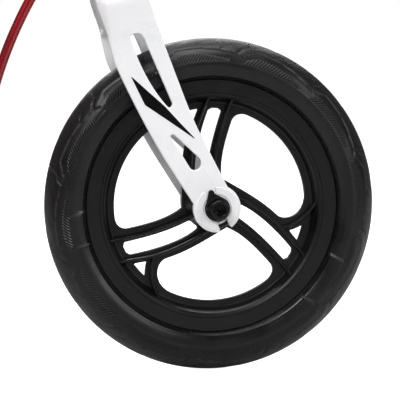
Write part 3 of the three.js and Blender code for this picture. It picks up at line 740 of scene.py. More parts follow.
def mould_ridge_with_painted_highlight(own, angle, radius):
    """One along the crisp edges that the mould leaves: the tread's step and notches and the panels' ends. It
    raises a small ridge there, and the tyre's colour paints a highlight line along it.
    """
    highlight_and_ridge = 0.0
    if 132 < radius < 147:
        x = own * DEGREE_LENGTH
        for line in EDGE_LINES:
            for shift in (-SECTOR * DEGREE_LENGTH, 0, SECTOR * DEGREE_LENGTH):
                away = distance_to_line(x + shift, radius, line)
                highlight_and_ridge = max(highlight_and_ridge, 0.3 * (1 - smooth_step(away, 0.1, 0.9)))
    # Painted highlight streaks, with a small ridge, along the panels' ends.
    if 116 < radius < 130:
        end = abs(inside_panel(angle, radius))
        highlight_and_ridge = max(highlight_and_ridge, 0.8 * (1 - smooth_step(end, 0.3, 1.3)) * (1 - smooth_step(radius, 121, 129)))
    return highlight_and_ridge


# The section has a row of points at each of these radii, closest where the panels and the tread have edges.
TYRE_RADII = [113.4, 113.6, 114.0, 114.9, 116.2, 117.4, 118.2, 119.2, 121.2, 123.4, 125.6, 127.5, 129.2,
              *(130 + 0.6 * k for k in range(23)), 143.8, 144.6, 145.6, 146.7, 147.7, 148.5, 149.1, 149.5]
# Radius and distance from the centre of the hidden corners, which sit in the rim's channel.
HIDDEN_SECTION = [(113.4, 12.7), (104.3, 12.7), (104.3, -12.7), (113.4, -12.7)]
STEP_RADII = (116.9, 117.9)  # a small step runs round the sidewall between these
STEP_HEIGHT, LINE_HEIGHT = 0.4, 0.25


def tyre_rows():
    """The section from edge to edge, as radius, distance from the centre, outward direction and side."""
    profile = catmull([(r, y, 0) for r, y in TYRE_SIDE], 8)
    half = []
    for radius in TYRE_RADII:
        for a, b in zip(profile, profile[1:]):
            if a.x <= radius <= b.x:
                y = a.y + (b.y - a.y) * (radius - a.x) / (b.x - a.x)
                half.append((radius, y, Vector((a.y - b.y, b.x - a.x)).normalized()))
                break
    half.append((*TYRE_SIDE[-1], Vector((1.0, 0.0))))
    return [(r, -y, n, -1) for r, y, n in half[:-1]] + [(r, y, n, 1) for r, y, n in reversed(half)]


def tread_columns():
    """Places round one sector of the tread, in degrees, with two at each edge of a rib."""
    ribs = round((LAST_RIB - FIRST_RIB) / RIB_PITCH)
    columns = [0, 0.7, 1.4, 2.1, 2.8, 3.5]
    columns += [FIRST_RIB + RIB_PITCH * (k + part) for k in range(ribs) for part in (0.04, 0.26, 0.64, 0.86)]
    return columns + [LAST_RIB + 0.2, LAST_RIB + 1.0]


def tyre_skin(rows, columns):
    """The outside's points, their places round and across the tread, their relief and their lines of painted
    highlight along the mould's ridges.
    """
    verts, uvs, height, line = [], [], [], []
    lengths = [0.0]
    for (r0, y0, *_), (r1, y1, *_) in zip(rows, rows[1:]):
        lengths.append(lengths[-1] + math.hypot(r1 - r0, y1 - y0))
    middle = lengths[len(rows) // 2]
    for length, (radius, y, outward, side) in zip(lengths, rows):
        lean = RIB_LEAN * (radius - 133)
        for sector in range(SECTORS):
            for column in columns:
                angle = TREAD_PHASE + sector * SECTOR - column + lean
                own = (column - lean) % SECTOR
                relief = tread_relief(own, radius) + rib_relief(column % SECTOR, radius)
                # A painted highlight line along the mould's ridges, which also raises a small ridge.
                highlight_and_ridge = mould_ridge_with_painted_highlight(own, angle % 360, radius)
                height.append(relief)
                line.append(highlight_and_ridge)
                relief += panel_relief(angle % 360, radius) if 116 < radius < 134 else 0
                relief += STEP_HEIGHT if STEP_RADII[0] < radius < STEP_RADII[1] else 0
                relief += LINE_HEIGHT * highlight_and_ridge
                r = radius + outward.x * relief
                a = math.radians(angle)
                verts.append(Vector((r * math.cos(a), y + side * outward.y * relief, r * math.sin(a))))
                turns = (sector * SECTOR - angle + TREAD_PHASE) / SECTOR
                uvs.append((turns, (length - middle) / 10))
    return verts, uvs, height, line


def make_tyre(name, node, place, body):
    """A tyre as rings of points, the outside's and then the hidden ones, each joined to the next."""
    rows, columns = tyre_rows(), tread_columns()
    verts, uvs, height, line = tyre_skin(rows, columns)
    around = SECTORS * len(columns)
    rings = [range(k * around, (k + 1) * around) for k in range(len(rows) + len(HIDDEN_SECTION))]
    ring_angles = [math.atan2(verts[i].z, verts[i].x) for i in rings[len(rows) - 1]]
    for radius, y in HIDDEN_SECTION:
        verts += [Vector((radius * math.cos(a), y, radius * math.sin(a))) for a in ring_angles]
        uvs += [(0, 3.4)] * around
    faces = []
    for low, high in zip(rings, rings[1:] + rings[:1]):
        for i in range(around):
            sector, column = divmod(i, len(columns))
            j = i + 1 if column + 1 < len(columns) else (sector - 1) % SECTORS * len(columns)
            faces.append([high[i], high[j], low[j], low[i]])

    mesh = bpy.data.meshes.new(name)
    mesh.from_pydata([place @ v * MM for v in verts], [], faces)
    layer = mesh.uv_layers.new(name="round")
    for polygon in mesh.polygons:
        turns = [uvs[v] for v in polygon.vertices]
        low = min(u for u, _ in turns)
        for corner, (u, v) in zip(polygon.loop_indices, turns):
            layer.data[corner].uv = (u - SECTORS if u - low > SECTORS / 2 else u, v)
    # The relief paints shade in the grooves and highlights on the crests; the line paints highlights along
    # the mould's ridges.
    for title, values in (("relief", height), ("line", line)):
        stored = mesh.attributes.new(title, "FLOAT", "POINT")
        stored.data.foreach_set("value", values + [0.0] * (len(mesh.vertices) - len(values)))
    mesh.materials.append(FOAM)
    thing = link(bpy.data.objects.new(name, mesh))
    mesh.shade_smooth()
    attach(thing, body)
    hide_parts(node)


def spoke_web():
    """One spoke's flat web and its two openings, in X and Z, pointing roughly along +X."""
    outline = [(-4, 16), (-4, 25.7)]
    outline += bezier((-4, 25.7), (14, 26.4), (36, 29), (57.5, 24.8))
    outline += bezier((57.5, 24.8), (67, 23.2), (80.6, 38.9), (66.8, 56.1))
    outline += arc((0, 0), 91.5, 40.6, -21.2, 14)
    outline += [(81.5, -31.2)]
    outline += bezier((81.5, -31.2), (85.2, -19.8), (77, -15.8), steps=8)
    outline += bezier((77, -15.8), (58, -10.4), (40, -6.4), (24.8, -9.3))
    outline += [(14, -8)]
    slot = [(20, 14)]
    slot += bezier((20, 14), (18.6, 8), (24, 4), steps=5)
    slot += bezier((24, 4), (46, 4), (66, -1), (84.6, -5.9))
    slot += [(88.8, 0), (85, 6.5)]
    slot += bezier((85, 6.5), (62, 13.8), (36, 18), (20, 14))[:-1]
    triangle = [(74.3, 19, 0.8), (86.5, 15, 1.5), (82.8, 31.7, 1.0)]
    triangle += bezier((82.8, 31.7), (79.5, 24.5), (74.3, 19), steps=4)[:-1]
    return plate([outline, rounded(slot, 1.6, 2), rounded(triangle, 0.5, 2)], 3.2, 0.9, 2)


def rib(points, width, heights):
    """A raised strip standing to both sides of the web, along a line in X and Z."""
    line = [Vector((x, 0, z)) for x, z in points]
    steps = [0.0]
    for a, b in zip(line, line[1:]):
        steps.append(steps[-1] + (b - a).length)
    sections = []
    for k, (place, side, up) in enumerate(frames_along(line, (0, 1, 0))):
        half = line_value([(s * steps[-1], h) for s, h in heights], steps[k])
        w = width / 2
        corner = [(-w, -half + 1), (-w * 0.55, -half), (w * 0.55, -half), (w, -half + 1),
                  (w, half - 1), (w * 0.55, half), (-w * 0.55, half), (-w, half - 1)]
        sections.append([place + up * x + side * y for x, y in corner])
    return loft(sections)


def wheel_form():
    """A moulded wheel in one skin: the rim with its channel, the hub and three spokes."""
    half = [(87.0, 3.0, 0.8), (93.2, 3.2, 2.2), (97.2, 14.2, 1.8), (99.3, 15.9, 0.7), (100.8, 15.9, 0.1),
            (101.15, 15.5, 0.1), (101.5, 15.9, 0.1), (113.15, 15.9, 0.5), (113.15, 13.1, 0.3),
            (104, 13.1, 1.5)]
    profile = half + [(r, -y, e) for r, y, e in reversed(half)]
    rim = turned(profile, 0.6, 4, 144)
    shoulder = 20.2
    hub_half = [(13, shoulder, 0.3), (16.35, shoulder, 0.3), (16.35, 29.0, 0.4), (16.9, 29.9, 0.3),
                (19.2, 29.9, 0.8), (20, 28, 1.0), (20, 12, 3.0), (23.0, 5.0, 4.0)]
    hub = turned(hub_half + [(r, -y, e) for r, y, e in reversed(hub_half)], 0.6, 3, 64)
    spokes = []
    for angle in (87, 207, 327):
        turn = Matrix.Rotation(math.radians(-angle), 4, "Y")
        tall_ends = [(0, 14), (0.16, 9.5), (0.6, 8.2), (0.9, 9), (1, 12)]
        lines = [
            ([(14, 18.6), (17.5, 19.3)] + bezier((17.5, 19.3), (30, 21.6), (52, 20.6), (68, 16.8), steps=9)
             + bezier((68, 16.8), (80, 13.6), (96.5, 7), steps=4), tall_ends),
            ([(12, 1.0), (18.5, 0.5)] + bezier((18.5, 0.5), (36, 0.2), (56, -2.6), (70, -6.2), steps=9)
             + bezier((70, -6.2), (84, -9.8), (96.5, -14.2), steps=4), tall_ends),
            ([(66, 17.3)] + bezier((66, 17.3), (78.5, 27), (81, 42), (79.3, 58), steps=9),
             [(0, 7.8), (0.7, 8.4), (1, 11)]),
        ]
        ribs = [moved(rib(line, 3.1, heights), turn) for line, heights in lines]
        spokes += [moved(spoke_web(), turn), *ribs]
    return fused(rim, hub, *spokes)


WHEEL = wheel_form()
for prefix, place in (("front", FRONT_AXLE), ("rear", REAR_AXLE)):
    body = f"{prefix}_wheel"
    make_tyre(f"{prefix}_foam_tyre", f"{prefix}_tyre", place, body)
    piece(f"{prefix}_spoked_wheel", moved(WHEEL, place), NYLON, body, f"{prefix}_wheel")

# ---------------------------------------------------------------- places on the bike


STEERING_LEAN, SEAT_LEAN = math.radians(20), math.radians(18)
FORK_OFFSET = 16  # how far the axle stands forward of the steering axis at its own height
SEAT_FOOT = (-53.2, 0, 104)


def leaning(origin, lean):
    """Local X forward, local Y up an axis that leans back, and local Z to the right."""
    c, s = math.cos(lean), math.sin(lean)
    return Matrix(((c, -s, 0, origin[0]), (0, 0, -1, origin[1]), (s, c, 0, origin[2]), (0, 0, 0, 1)))


STEERING = leaning((AXLE_REACH - FORK_OFFSET, 0, AXLE_HEIGHT), STEERING_LEAN)
SEAT_AXIS = leaning(SEAT_FOOT, SEAT_LEAN)
CROWN_TOP, HEAD_LOW, HEAD_HIGH = 205, 222, 312
STEERER_LOW, STEERER_TOP, STEERER_RADIUS = 178, 357, 14.3
BAR_STATION = 430
FORK_INNER, FORK_OUTER, FORK_NARROWING = 38.0, 45.0, 8.5


RING_POINTS = 96


def placed_ring(radius, height, sides=0, ripple=0.0):
    """Points round Y: a circle, or with sides a regular polygon whose flats lie at the radius."""
    points = []
    for i in range(RING_POINTS):
        angle = TURN * i / RING_POINTS
        r = radius + (ripple if i % 2 else 0)
        if sides:
            flat = TURN / sides
            r = radius / math.cos((angle + flat / 2) % flat - flat / 2)
        points.append(Vector((r * math.cos(angle), height, r * math.sin(angle))))
    return points


def stacked(rings):
    """Rings of (radius, height), or with a third number regular polygons of that many sides."""
    return [placed_ring(radius, height, sides=sides[0] if sides else 0) for radius, height, *sides in rings]


def cylinder(radius, low, high, matrix, segments):
    return moved(lathe([(0, low), (radius, low), (radius, high), (0, high)], segments, closed=False), matrix)


# ---------------------------------------------------------------- fork


def to_steering(x, z):
    """A point forward and up from the front axle, as (forward of the steering axis, station along it)."""
    c, s = math.cos(STEERING_LEAN), math.sin(STEERING_LEAN)
    return (x + FORK_OFFSET) * c + z * s, z * c - (x + FORK_OFFSET) * s


def evenly(points, count):
    """Points at equal steps along a line."""
    points = [Vector(p) for p in points]
    lengths = [0.0]
    for a, b in zip(points, points[1:]):
        lengths.append(lengths[-1] + (b - a).length)
    result, k = [], 0
    for i in range(count + 1):
        goal = lengths[-1] * i / count
        while k < len(points) - 2 and lengths[k + 1] < goal:
            k += 1
        share = (goal - lengths[k]) / max(lengths[k + 1] - lengths[k], 1e-9)
        result.append(points[k].lerp(points[k + 1], min(share, 1.0)))
    return result, lengths[-1]


ARCH_FOOT = 165.0
OUTER_HALF = FORK_OUTER - FORK_NARROWING
INNER_HALF = FORK_INNER - FORK_NARROWING
ARCH_STEPS = 60
SHOULDER = bezier((OUTER_HALF, 190), (OUTER_HALF, 200), (32, CROWN_TOP), (25, CROWN_TOP), steps=20)
HOLLOW = bezier((INNER_HALF, ARCH_FOOT), (INNER_HALF, 170.5), (18, 174), (0, 174), steps=20)
ARCH_OUT, ARCH_LENGTH = evenly(
    [(OUTER_HALF, ARCH_FOOT), (OUTER_HALF, 190), *SHOULDER, (0, CROWN_TOP)], ARCH_STEPS)
ARCH_IN, _ = evenly([(INNER_HALF, ARCH_FOOT), *HOLLOW], ARCH_STEPS)


def leg_loops():
    """The outline of one fork leg up to the middle of the crown, and its two windows, forward and up from
    the axle as (forward, station) with the crown's middle at station ARCH_FOOT + ARCH_LENGTH."""
    slot_half, slot_angle = 4.5, -68
    lean = math.radians(slot_angle)
    along = Vector((math.cos(lean), math.sin(lean)))
    across = Vector((-along.y, along.x))
    front = [(-55, 170)]
    front += [(-27, 95)] + bezier((-27, 95), (-19, 74), (-9, 55), steps=8) + [(9.5, 19)]
    front += arc((0, 0), 21.3, 63.5, -52, 26)[1:]
    mouth_front = along * 17.5 + across * slot_half
    mouth_back = along * 19.5 - across * slot_half
    eye = arc((0, 0), slot_half, slot_angle + 90, slot_angle + 270, 14)
    back_start = arc((0, 0), 21.3, -84, -84, 1)[0]
    slot = [front[-1], (*mouth_front, 1.8), *eye, (*mouth_back, 1.2), back_start]
    slot = rounded(slot, 0, 3, closed=False)[1:-1]
    back = arc((0, 0), 21.3, -84, -191, 24)
    back += [(-45, 42.1)] + bezier((-45, 42.1), (-62, 70), (-75, 97), steps=8)
    back += bezier((-75, 97), (-86, 119), (-90, 130), steps=6) + [(-97, 157.5)]
    upper = [(-76.2, 152)] + bezier((-76.2, 152), (-66, 158), (-62.5, 147.5), steps=7)
    upper += [(-38.9, 92.4)] + bezier((-38.9, 92.4), (-40.5, 87.5), (-43.7, 90.4), steps=5)
    upper += bezier((-43.7, 90.4), (-64, 113), (-76.2, 152), steps=9)[:-1]
    lower = [(-41, 63.8)] + bezier((-41, 63.8), (-40, 67), (-36.8, 64.6), steps=4)
    lower += [(-15.2, 44.2)] + bezier((-15.2, 44.2), (-12.4, 39), (-17.2, 35), steps=5)
    lower += bezier((-17.2, 35), (-22, 32.5), (-24.8, 37.5), steps=5)
    return [[to_steering(*p) for p in loop] for loop in (front + slot + back, upper, lower)]


def narrowing(height):
    """How much closer to the wheel the legs stand at a height over the axle."""
    return FORK_NARROWING * (0.35 * smooth_step(height, 15, 150) + 0.65 * min(max((height - 25) / 120, 0), 1))


BACK_EDGE = [(111, -22.3), (147.5, -25.1), (175.7, -22.2), (400, -22.0)]
FILLET_WIDTH, FILLET_DEPTH = 11.5, 0.66


def back_fillet(x, station, share):
    """How much of the wall the wide fillet takes off behind the crown, where share runs to its middle."""
    inset = max(x - line_value(BACK_EDGE, station), 0.0)
    if inset >= FILLET_WIDTH or station < 130:
        return 0.0
    fade = smooth_step(station, 131, 172) * (1 - smooth_step(share, 0.3, 0.75))
    return FILLET_DEPTH * fade * (1 - math.sqrt(1 - (1 - inset / FILLET_WIDTH) ** 2))


def fork_surface(x, q, depth):
    """From the flat pattern, with q across the crown from its middle and depth from 0 inside to 1 outside."""
    side = 1 if q >= 0 else -1
    station = ARCH_FOOT + ARCH_LENGTH - abs(q)
    height = station * math.cos(STEERING_LEAN) + x * math.sin(STEERING_LEAN)
    depth *= 1 - back_fillet(x, station, (station - ARCH_FOOT) / ARCH_LENGTH)
    if station <= ARCH_FOOT:
        out = FORK_INNER + (FORK_OUTER - FORK_INNER) * depth - narrowing(height)
        return Vector((x, station, -side * out))
    place = (station - ARCH_FOOT) / ARCH_LENGTH * ARCH_STEPS
    k = min(int(place), ARCH_STEPS - 1)
    inner = ARCH_IN[k].lerp(ARCH_IN[k + 1], place - k)
    outer = ARCH_OUT[k].lerp(ARCH_OUT[k + 1], place - k)
    point = inner.lerp(outer, depth)
    return Vector((x, point.y, -side * point.x))


def on_fork(loops, half, edge, base, thickness, slices=3.0, lines=()):
    """A plate cut to flat loops and wrapped on the fork. Its depth starts at base, in shares of the wall.
    It is cut every few millimetres along the fork, and along the given lines, so that it can bend."""
    form = plate(loops, half, edge, 3)
    shape = to_bmesh(form)
    bmesh.ops.remove_doubles(shape, verts=shape.verts[:], dist=2e-3)

    def cut(place, direction):
        bmesh.ops.bisect_plane(shape, geom=shape.verts[:] + shape.edges[:] + shape.faces[:], dist=1e-4,
                               plane_co=place, plane_no=direction)

    low = min(v.co.z for v in shape.verts)
    high = max(v.co.z for v in shape.verts)
    level = low + slices
    while level < high:
        cut((0, 0, level), (0, 0, 1))
        level += slices
    for x in lines:
        cut((x, 0, 0), (1, 0, 0))
    for vert in shape.verts:
        depth = base + thickness * (vert.co.y / half + 1) / 2
        vert.co = fork_surface(vert.co.x, vert.co.z, depth)
    return from_bmesh(shape)


def whole_pattern(loops):
    """One leg's loops, mirrored about the crown's middle: the outline is joined and openings are doubled."""
    middle = ARCH_FOOT + ARCH_LENGTH
    outline = [(x, middle - s) for x, s in loops[0]]
    crown_front = [(21.7, middle - 185), (22, middle - 200), (22, 0)]
    crown_back = [(-22, middle - 185), (-22, middle - 200), (-22, 0)]
    half = crown_front[::-1] + outline + crown_back
    other = [(x, -q) for x, q in half[::-1]][1:-1]
    openings = [[(x, middle - s) for x, s in loop] for loop in loops[1:]]
    return [half + other, *openings, *([(x, -q) for x, q in loop] for loop in openings)]


FILLET_LINES = (-21.3, -20.0, -18.5, -16.8, -15.0, -13.0, -11.0)
fork_body = on_fork(whole_pattern(leg_loops()), 3.5, 1.25, 0.0, 1.0, lines=FILLET_LINES)
stop_peg = block((-21.8, 203, -3), (-19.4, 209.5, 3), 0.5)
lips = []
for side in (1, -1):
    for first, last in ((-44, 96), (128, 268)):
        lip = arc((0, 0), 19.2, first, last, 20) + arc((0, 0), 12.4, last, first, 16)
        lip = plate([rounded(lip, 0.5, 2)], 0.9, 0.6, 3)
        lips.append(moved(lip, Matrix.Translation((0, side * 44.75, 0))))
to_axle = STEERING.inverted() @ FRONT_AXLE
FORK_FORM = merged(fork_body, stop_peg, *(moved(lip, to_axle) for lip in lips))
piece("fork_casting", moved(FORK_FORM, STEERING), WHITE, "fork", "fork", crease=40)

DART = [(-76, 117.4), (-69.5, 104), (-63.4, 91.6), (-45, 79.2), (-17.9, 60.5), (-32.8, 76.1), (-46.4, 90.9),
        (-61, 103.8)]
for name, side in (("left", 1), ("right", -1)):
    middle = ARCH_FOOT + ARCH_LENGTH
    dart = [(x, side * (middle - s)) for x, s in (to_steering(*p) for p in DART)]
    decal = on_fork([rounded(dart, 0.4, 2)], 0.1, 0.04, 1.002, 0.02, slices=5)
    piece(f"fork_stripe_{name}", moved(decal, STEERING), FILM, "fork")

# ---------------------------------------------------------------- wheel fasteners and bearings


def bolt_form(under, tip):
    """A socket-head bolt along Y with a knurled head at the outer end."""
    top = under + 10
    rings = stacked([(3.2, tip), (4, tip + 0.8), (4, under - 0.3), (4.3, under), (8.1, under)])
    rings += [placed_ring(8.45, y, ripple=-0.2) for y in (under + 0.5, top - 1.6)]
    rings += stacked([(8.35, top - 1.2), (7.8, top - 0.3), (7.3, top), (6.1, top), (5.5, top - 0.3),
                      (5.15, top - 0.9), (4.8, top - 2.0), (3.9, top - 2.2)])
    rings += stacked([(3.2, top - 2.4, 6), (3.0, top - 2.9, 6), (3.0, top - 5.5, 6)])
    rings.append(placed_ring(1.0, top - 6.3))
    return loft(rings)


def washer_form(inner, outer, low, high, edge=0.35):
    return turned([(inner, low), (outer, low), (outer, high), (inner, high)], edge, 3, 72)


def tab_washer_form(low):
    """A safety washer with a tab that points into the fork."""
    outline = arc((0, 0), 11.3, 152, 410, 44)
    outline += [(-2.9, 13.6)] + arc((-5.6, 14), 2.65, 0, 180, 12)
    hole = arc((0, 0), 4.4, 0, 350, 35)
    flat = plate([rounded(outline, 0.6, 2), hole], 1.0, 0.4, 3)
    return moved(flat, Matrix.Translation((0, low + 1.0, 0)))


def bearing_form(low, width):
    """A sealed ball bearing: two steel races with a recessed shield between them."""
    high = low + width
    section = [(7.85, low, 0.4), (10.0, low, 0.3), (10.2, low + 0.7, 0.2), (13.6, low + 0.7, 0.2),
               (13.8, low, 0.3), (15.95, low, 0.5), (15.95, high, 0.5), (13.8, high, 0.3),
               (13.6, high - 0.7, 0.2), (10.2, high - 0.7, 0.2), (10.0, high, 0.3), (7.85, high, 0.4)]
    return turned(section, 0.3, 2, 72)


def both_sides(name, form, place, material, body, node):
    """A piece on the left of an axle and its mirror image on the right."""
    for side, shape in (("left", form), ("right", mirrored(form))):
        piece(f"{name}_{side}", moved(shape, place), material, body, f"{node}_{side}")


for prefix, place, holder, face in (("front", FRONT_AXLE, "fork", 45.0), ("rear", REAR_AXLE, "frame", 44.3)):
    spin = f"{prefix}_wheel"
    both_sides(f"{prefix}_sealed_bearing", bearing_form(20.7, 9), place, STEEL, spin, f"{prefix}_bearing")
    spacer = turned([(7.8, 30, 0.2), (9.4, 30, 0.2), (10.4, 31.4, 0.5), (10.4, 36.8, 0.5), (9.8, 37.6, 0.3),
                     (7.8, 37.6, 0.2)], 0.3, 2, 72)
    both_sides(f"{prefix}_axle_spacer", spacer, place, ANODISED, holder, f"{prefix}_spacer")
    under = face + 0.3
    if prefix == "front":
        both_sides("front_tabbed_washer", tab_washer_form(under), place, OXIDE, holder, "front_tab_washer")
        under += 2.3
    both_sides(f"{prefix}_flat_washer", washer_form(4.3, 10.25, under, under + 2), place, OXIDE, holder,
               f"{prefix}_washer")
    bolt = bolt_form(under + 2.3, 22.7)
    both_sides(f"{prefix}_axle_bolt", bolt, place, BOLT_BLACK, holder, f"{prefix}_bolt")

# ---------------------------------------------------------------- frame


WELD_RIPPLE = 0.35


def weld_bead(points, radius, seed):
    """The rippled fillet of a weld along a closed line."""
    line = [Vector(p) for p in points]
    sections = []
    for k, place in enumerate(line):
        ahead = (line[(k + 1) % len(line)] - line[k - 1]).normalized()
        side = ahead.orthogonal().normalized()
        wave = noise.noise(Vector((seed * 7.3, k * 0.45, 0)))
        r = radius * (1 + WELD_RIPPLE * (0.35 * math.sin(k * 2.1) + wave))
        sections.append(circle_at(place, side, ahead.cross(side), r, 8))
    return loft(sections, ring=True)


def joint_line(start, direction, tube_radius, post, other_radius, steps):
    """Where the skin of one tube (start, direction, tube_radius) meets the skin of a straight post, which
    stands on the upward axis of its own place."""
    axis_point, axis = post @ Vector((0, 0, 0)), post.to_3x3() @ Vector((0, 1, 0))
    direction = Vector(direction).normalized()
    axis = Vector(axis).normalized()
    side = direction.orthogonal().normalized()
    up = direction.cross(side)
    points = []
    for i in range(steps):
        angle = TURN * i / steps
        base = Vector(start) + (side * math.cos(angle) + up * math.sin(angle)) * tube_radius
        # Walk along the tube until the distance to the post's axis equals its radius.
        flat_base = base - Vector(axis_point)
        flat_base = flat_base - axis * flat_base.dot(axis)
        flat_way = direction - axis * direction.dot(axis)
        a = flat_way.dot(flat_way)
        b = 2 * flat_base.dot(flat_way)
        c = flat_base.dot(flat_base) - other_radius ** 2
        inside = b * b - 4 * a * c
        if inside < 0 or a < 1e-9:
            continue
        t = (-b + math.sqrt(inside)) / (2 * a)
        points.append(base + direction * t)
    return points


def hollow(points, outer, inner, sides, side=(0, 1, 0)):
    """A tube along a path with its bore open at both ends."""
    outside = sweep(points, outer, sides, side)
    inside = sweep(points, inner, sides, side)
    count = len(outside[0])
    faces = outside[1][:-2] + [[count + i for i in face[::-1]] for face in inside[1][:-2]]
    last = count - sides
    for i in range(sides):
        j = (i + 1) % sides
        faces.append([j, i, count + i, count + j])
        faces.append([last + i, last + j, count + last + j, count + last + i])
    return outside[0] + inside[0], faces


SEAT_RADIUS, SEAT_TUBE_LENGTH = 15.5, 193
MAIN_RADIUS, LOWER_BAR_RADIUS, STAY_RADIUS = 16.0, 4.5, 7.0
HEAD_RADIUS, HEAD_END_RADIUS = 18.9, 19.5


def red_piece(name, form, node, crease=35):
    piece(name, form, RED, "frame", node, crease=crease)


head_tube = turned([(16.5, HEAD_LOW, 0.4), (HEAD_END_RADIUS, HEAD_LOW, 0.8),
                    (HEAD_END_RADIUS, HEAD_LOW + 9, 1.4), (HEAD_RADIUS, HEAD_LOW + 12, 1.4),
                    (HEAD_RADIUS, HEAD_HIGH - 12, 1.4), (HEAD_END_RADIUS, HEAD_HIGH - 9, 1.4),
                    (HEAD_END_RADIUS, HEAD_HIGH, 0.8), (16.5, HEAD_HIGH, 0.4)], 0.6, 3, 96)
red_piece("head_tube_shell", moved(head_tube, STEERING), "head_tube")
seat_tube = washer_form(13.0, SEAT_RADIUS, 0, SEAT_TUBE_LENGTH, 0.7)
red_piece("seat_tube_shell", moved(seat_tube, SEAT_AXIS), "seat_tube")

around_head = cylinder(HEAD_RADIUS, 190, 340, STEERING, 96)
around_seat = cylinder(SEAT_RADIUS + 0.02, -30, 230, SEAT_AXIS, 96)

main_path = catmull([STEERING @ Vector((0, 290, 0)), (105, 0, 396), (20, 0, 340), (-45, 0, 288),
                     SEAT_AXIS @ Vector((0, 151, 0))], 14)
main_tube = carved(hollow(main_path, MAIN_RADIUS, MAIN_RADIUS - 2, 48), around_head, around_seat)
way = (main_path[1] - main_path[0]).normalized()
bead = weld_bead(joint_line(main_path[0], way, MAIN_RADIUS, STEERING, HEAD_RADIUS + 0.2, 90), 1.6, 1)
way = (main_path[-2] - main_path[-1]).normalized()
rear_bead = weld_bead(joint_line(main_path[-1], way, MAIN_RADIUS, SEAT_AXIS, SEAT_RADIUS + 0.2, 90), 1.6, 2)
red_piece("main_tube_shell", merged(main_tube, bead, rear_bead), "main_tube", 45)

deck_low = 116
level = deck_low - 0.3 - LOWER_BAR_RADIUS
BOW_CENTRE, BOW_RADIUS = (462, 150), 380
bow = [Vector((BOW_CENTRE[0] - math.sqrt(BOW_RADIUS ** 2 - (z - BOW_CENTRE[1]) ** 2), 0, z))
       for z in (392, 376, 360, 342, 325, 307, 290, 272, 255, 237, 220, 202, 185)]
bar_path = catmull([*bow, (80, 0, 155), (72, 0, 132), (58, 0, level + 3.5), (38, 0, level), (10, 0, level),
                    (-20, 0, level), (-50, 0, level)], 8)
lower_bar = carved(sweep(bar_path, LOWER_BAR_RADIUS, 32), around_head, around_seat)
way = (bar_path[3] - bar_path[0]).normalized()
top_bead = weld_bead(joint_line(bar_path[0], way, LOWER_BAR_RADIUS, STEERING, HEAD_RADIUS + 0.2, 40), 1.1, 3)
end_line = joint_line((-50, 0, level), (1, 0, 0), LOWER_BAR_RADIUS, SEAT_AXIS, SEAT_RADIUS + 0.1, 40)
end_bead = weld_bead(end_line, 1.1, 4)
red_piece("lower_bar_rod", merged(lower_bar, top_bead, end_bead), "lower_bar", 45)

CHAIN_STAY = [(-62, 9, 117), (-92, 26, 121), (-130, 38, 127), (-190, 42, 136), (-264, 41.2, 146.5)]
SEAT_STAY = [(-109, 9, 262), (-130, 26, 254), (-160, 38, 240), (-215, 42, 208), (-269.4, 41.2, 166.1)]


def pinched(points, first, last):
    """A stay: round along its length and flattened where it meets the rear end plate."""
    path = catmull(points, 12)
    sections = []
    for k, (place, across, up) in enumerate(frames_along(path, (0, 1, 0))):
        share = k / (len(path) - 1)
        flat = 1 - 0.42 * smooth_step(share, first, last)
        wide = 1 + 0.12 * smooth_step(share, first, last)
        sections.append(oval_at(place, across, up, STAY_RADIUS * flat, STAY_RADIUS * wide, 32))
    return loft(sections), path


for side, name in ((1, "left"), (-1, "right")):
    for kind, points in (("chain", CHAIN_STAY), ("seat", SEAT_STAY)):
        route = [(x, side * y, z) for x, y, z in points]
        stay, path = pinched(route, 0.8, 0.97)
        other_half = block((-150, min(-60 * side, 0), 90), (0, max(-60 * side, 0), 290), 0.01, 1)
        shape = carved(stay, around_seat, other_half)
        tip, before = path[-1], path[-4]
        ahead = (tip - before).normalized()
        across = Vector((0, 1, 0))
        ring = oval_at(tip - ahead * 0.4, across, ahead.cross(across), STAY_RADIUS * 0.62,
                       STAY_RADIUS * 1.14, 48)
        node = f"{kind}_stay_{name}"
        red_piece(f"{node}_tube", merged(shape, weld_bead(ring, 1.0, 5 + side)), node, 45)

    def finger(angle, length, half):
        turn = math.radians(angle)
        c, s = math.cos(turn), math.sin(turn)
        return [(c * x - s * z, s * x + c * z) for x, z in ((length, -half), (length, half))]

    first, second = finger(-7.7, 25.6, 6.5), finger(38, 25.6, 6.5)
    outline = [(*first[0], 1.2), (*first[1], 1.2), (22.5, 7.2, 2.5), (*second[0], 1.2), (*second[1], 1.2)]
    outline += [(7.5, 15.9, 3)] + arc((0, 0), 17, 68, 305, 44) + [(11.5, -10.5, 3)]
    hole = arc((0, 0), 4.3, 0, 350, 35)
    end_plate = plate([rounded(outline, 1.0, 3), hole], 3.0, 0.8, 3)
    end_place = REAR_AXLE @ Matrix.Translation((0, side * 41.3, 0))
    red_piece(f"rear_end_plate_{name}", moved(end_plate, end_place), f"rear_end_{name}")

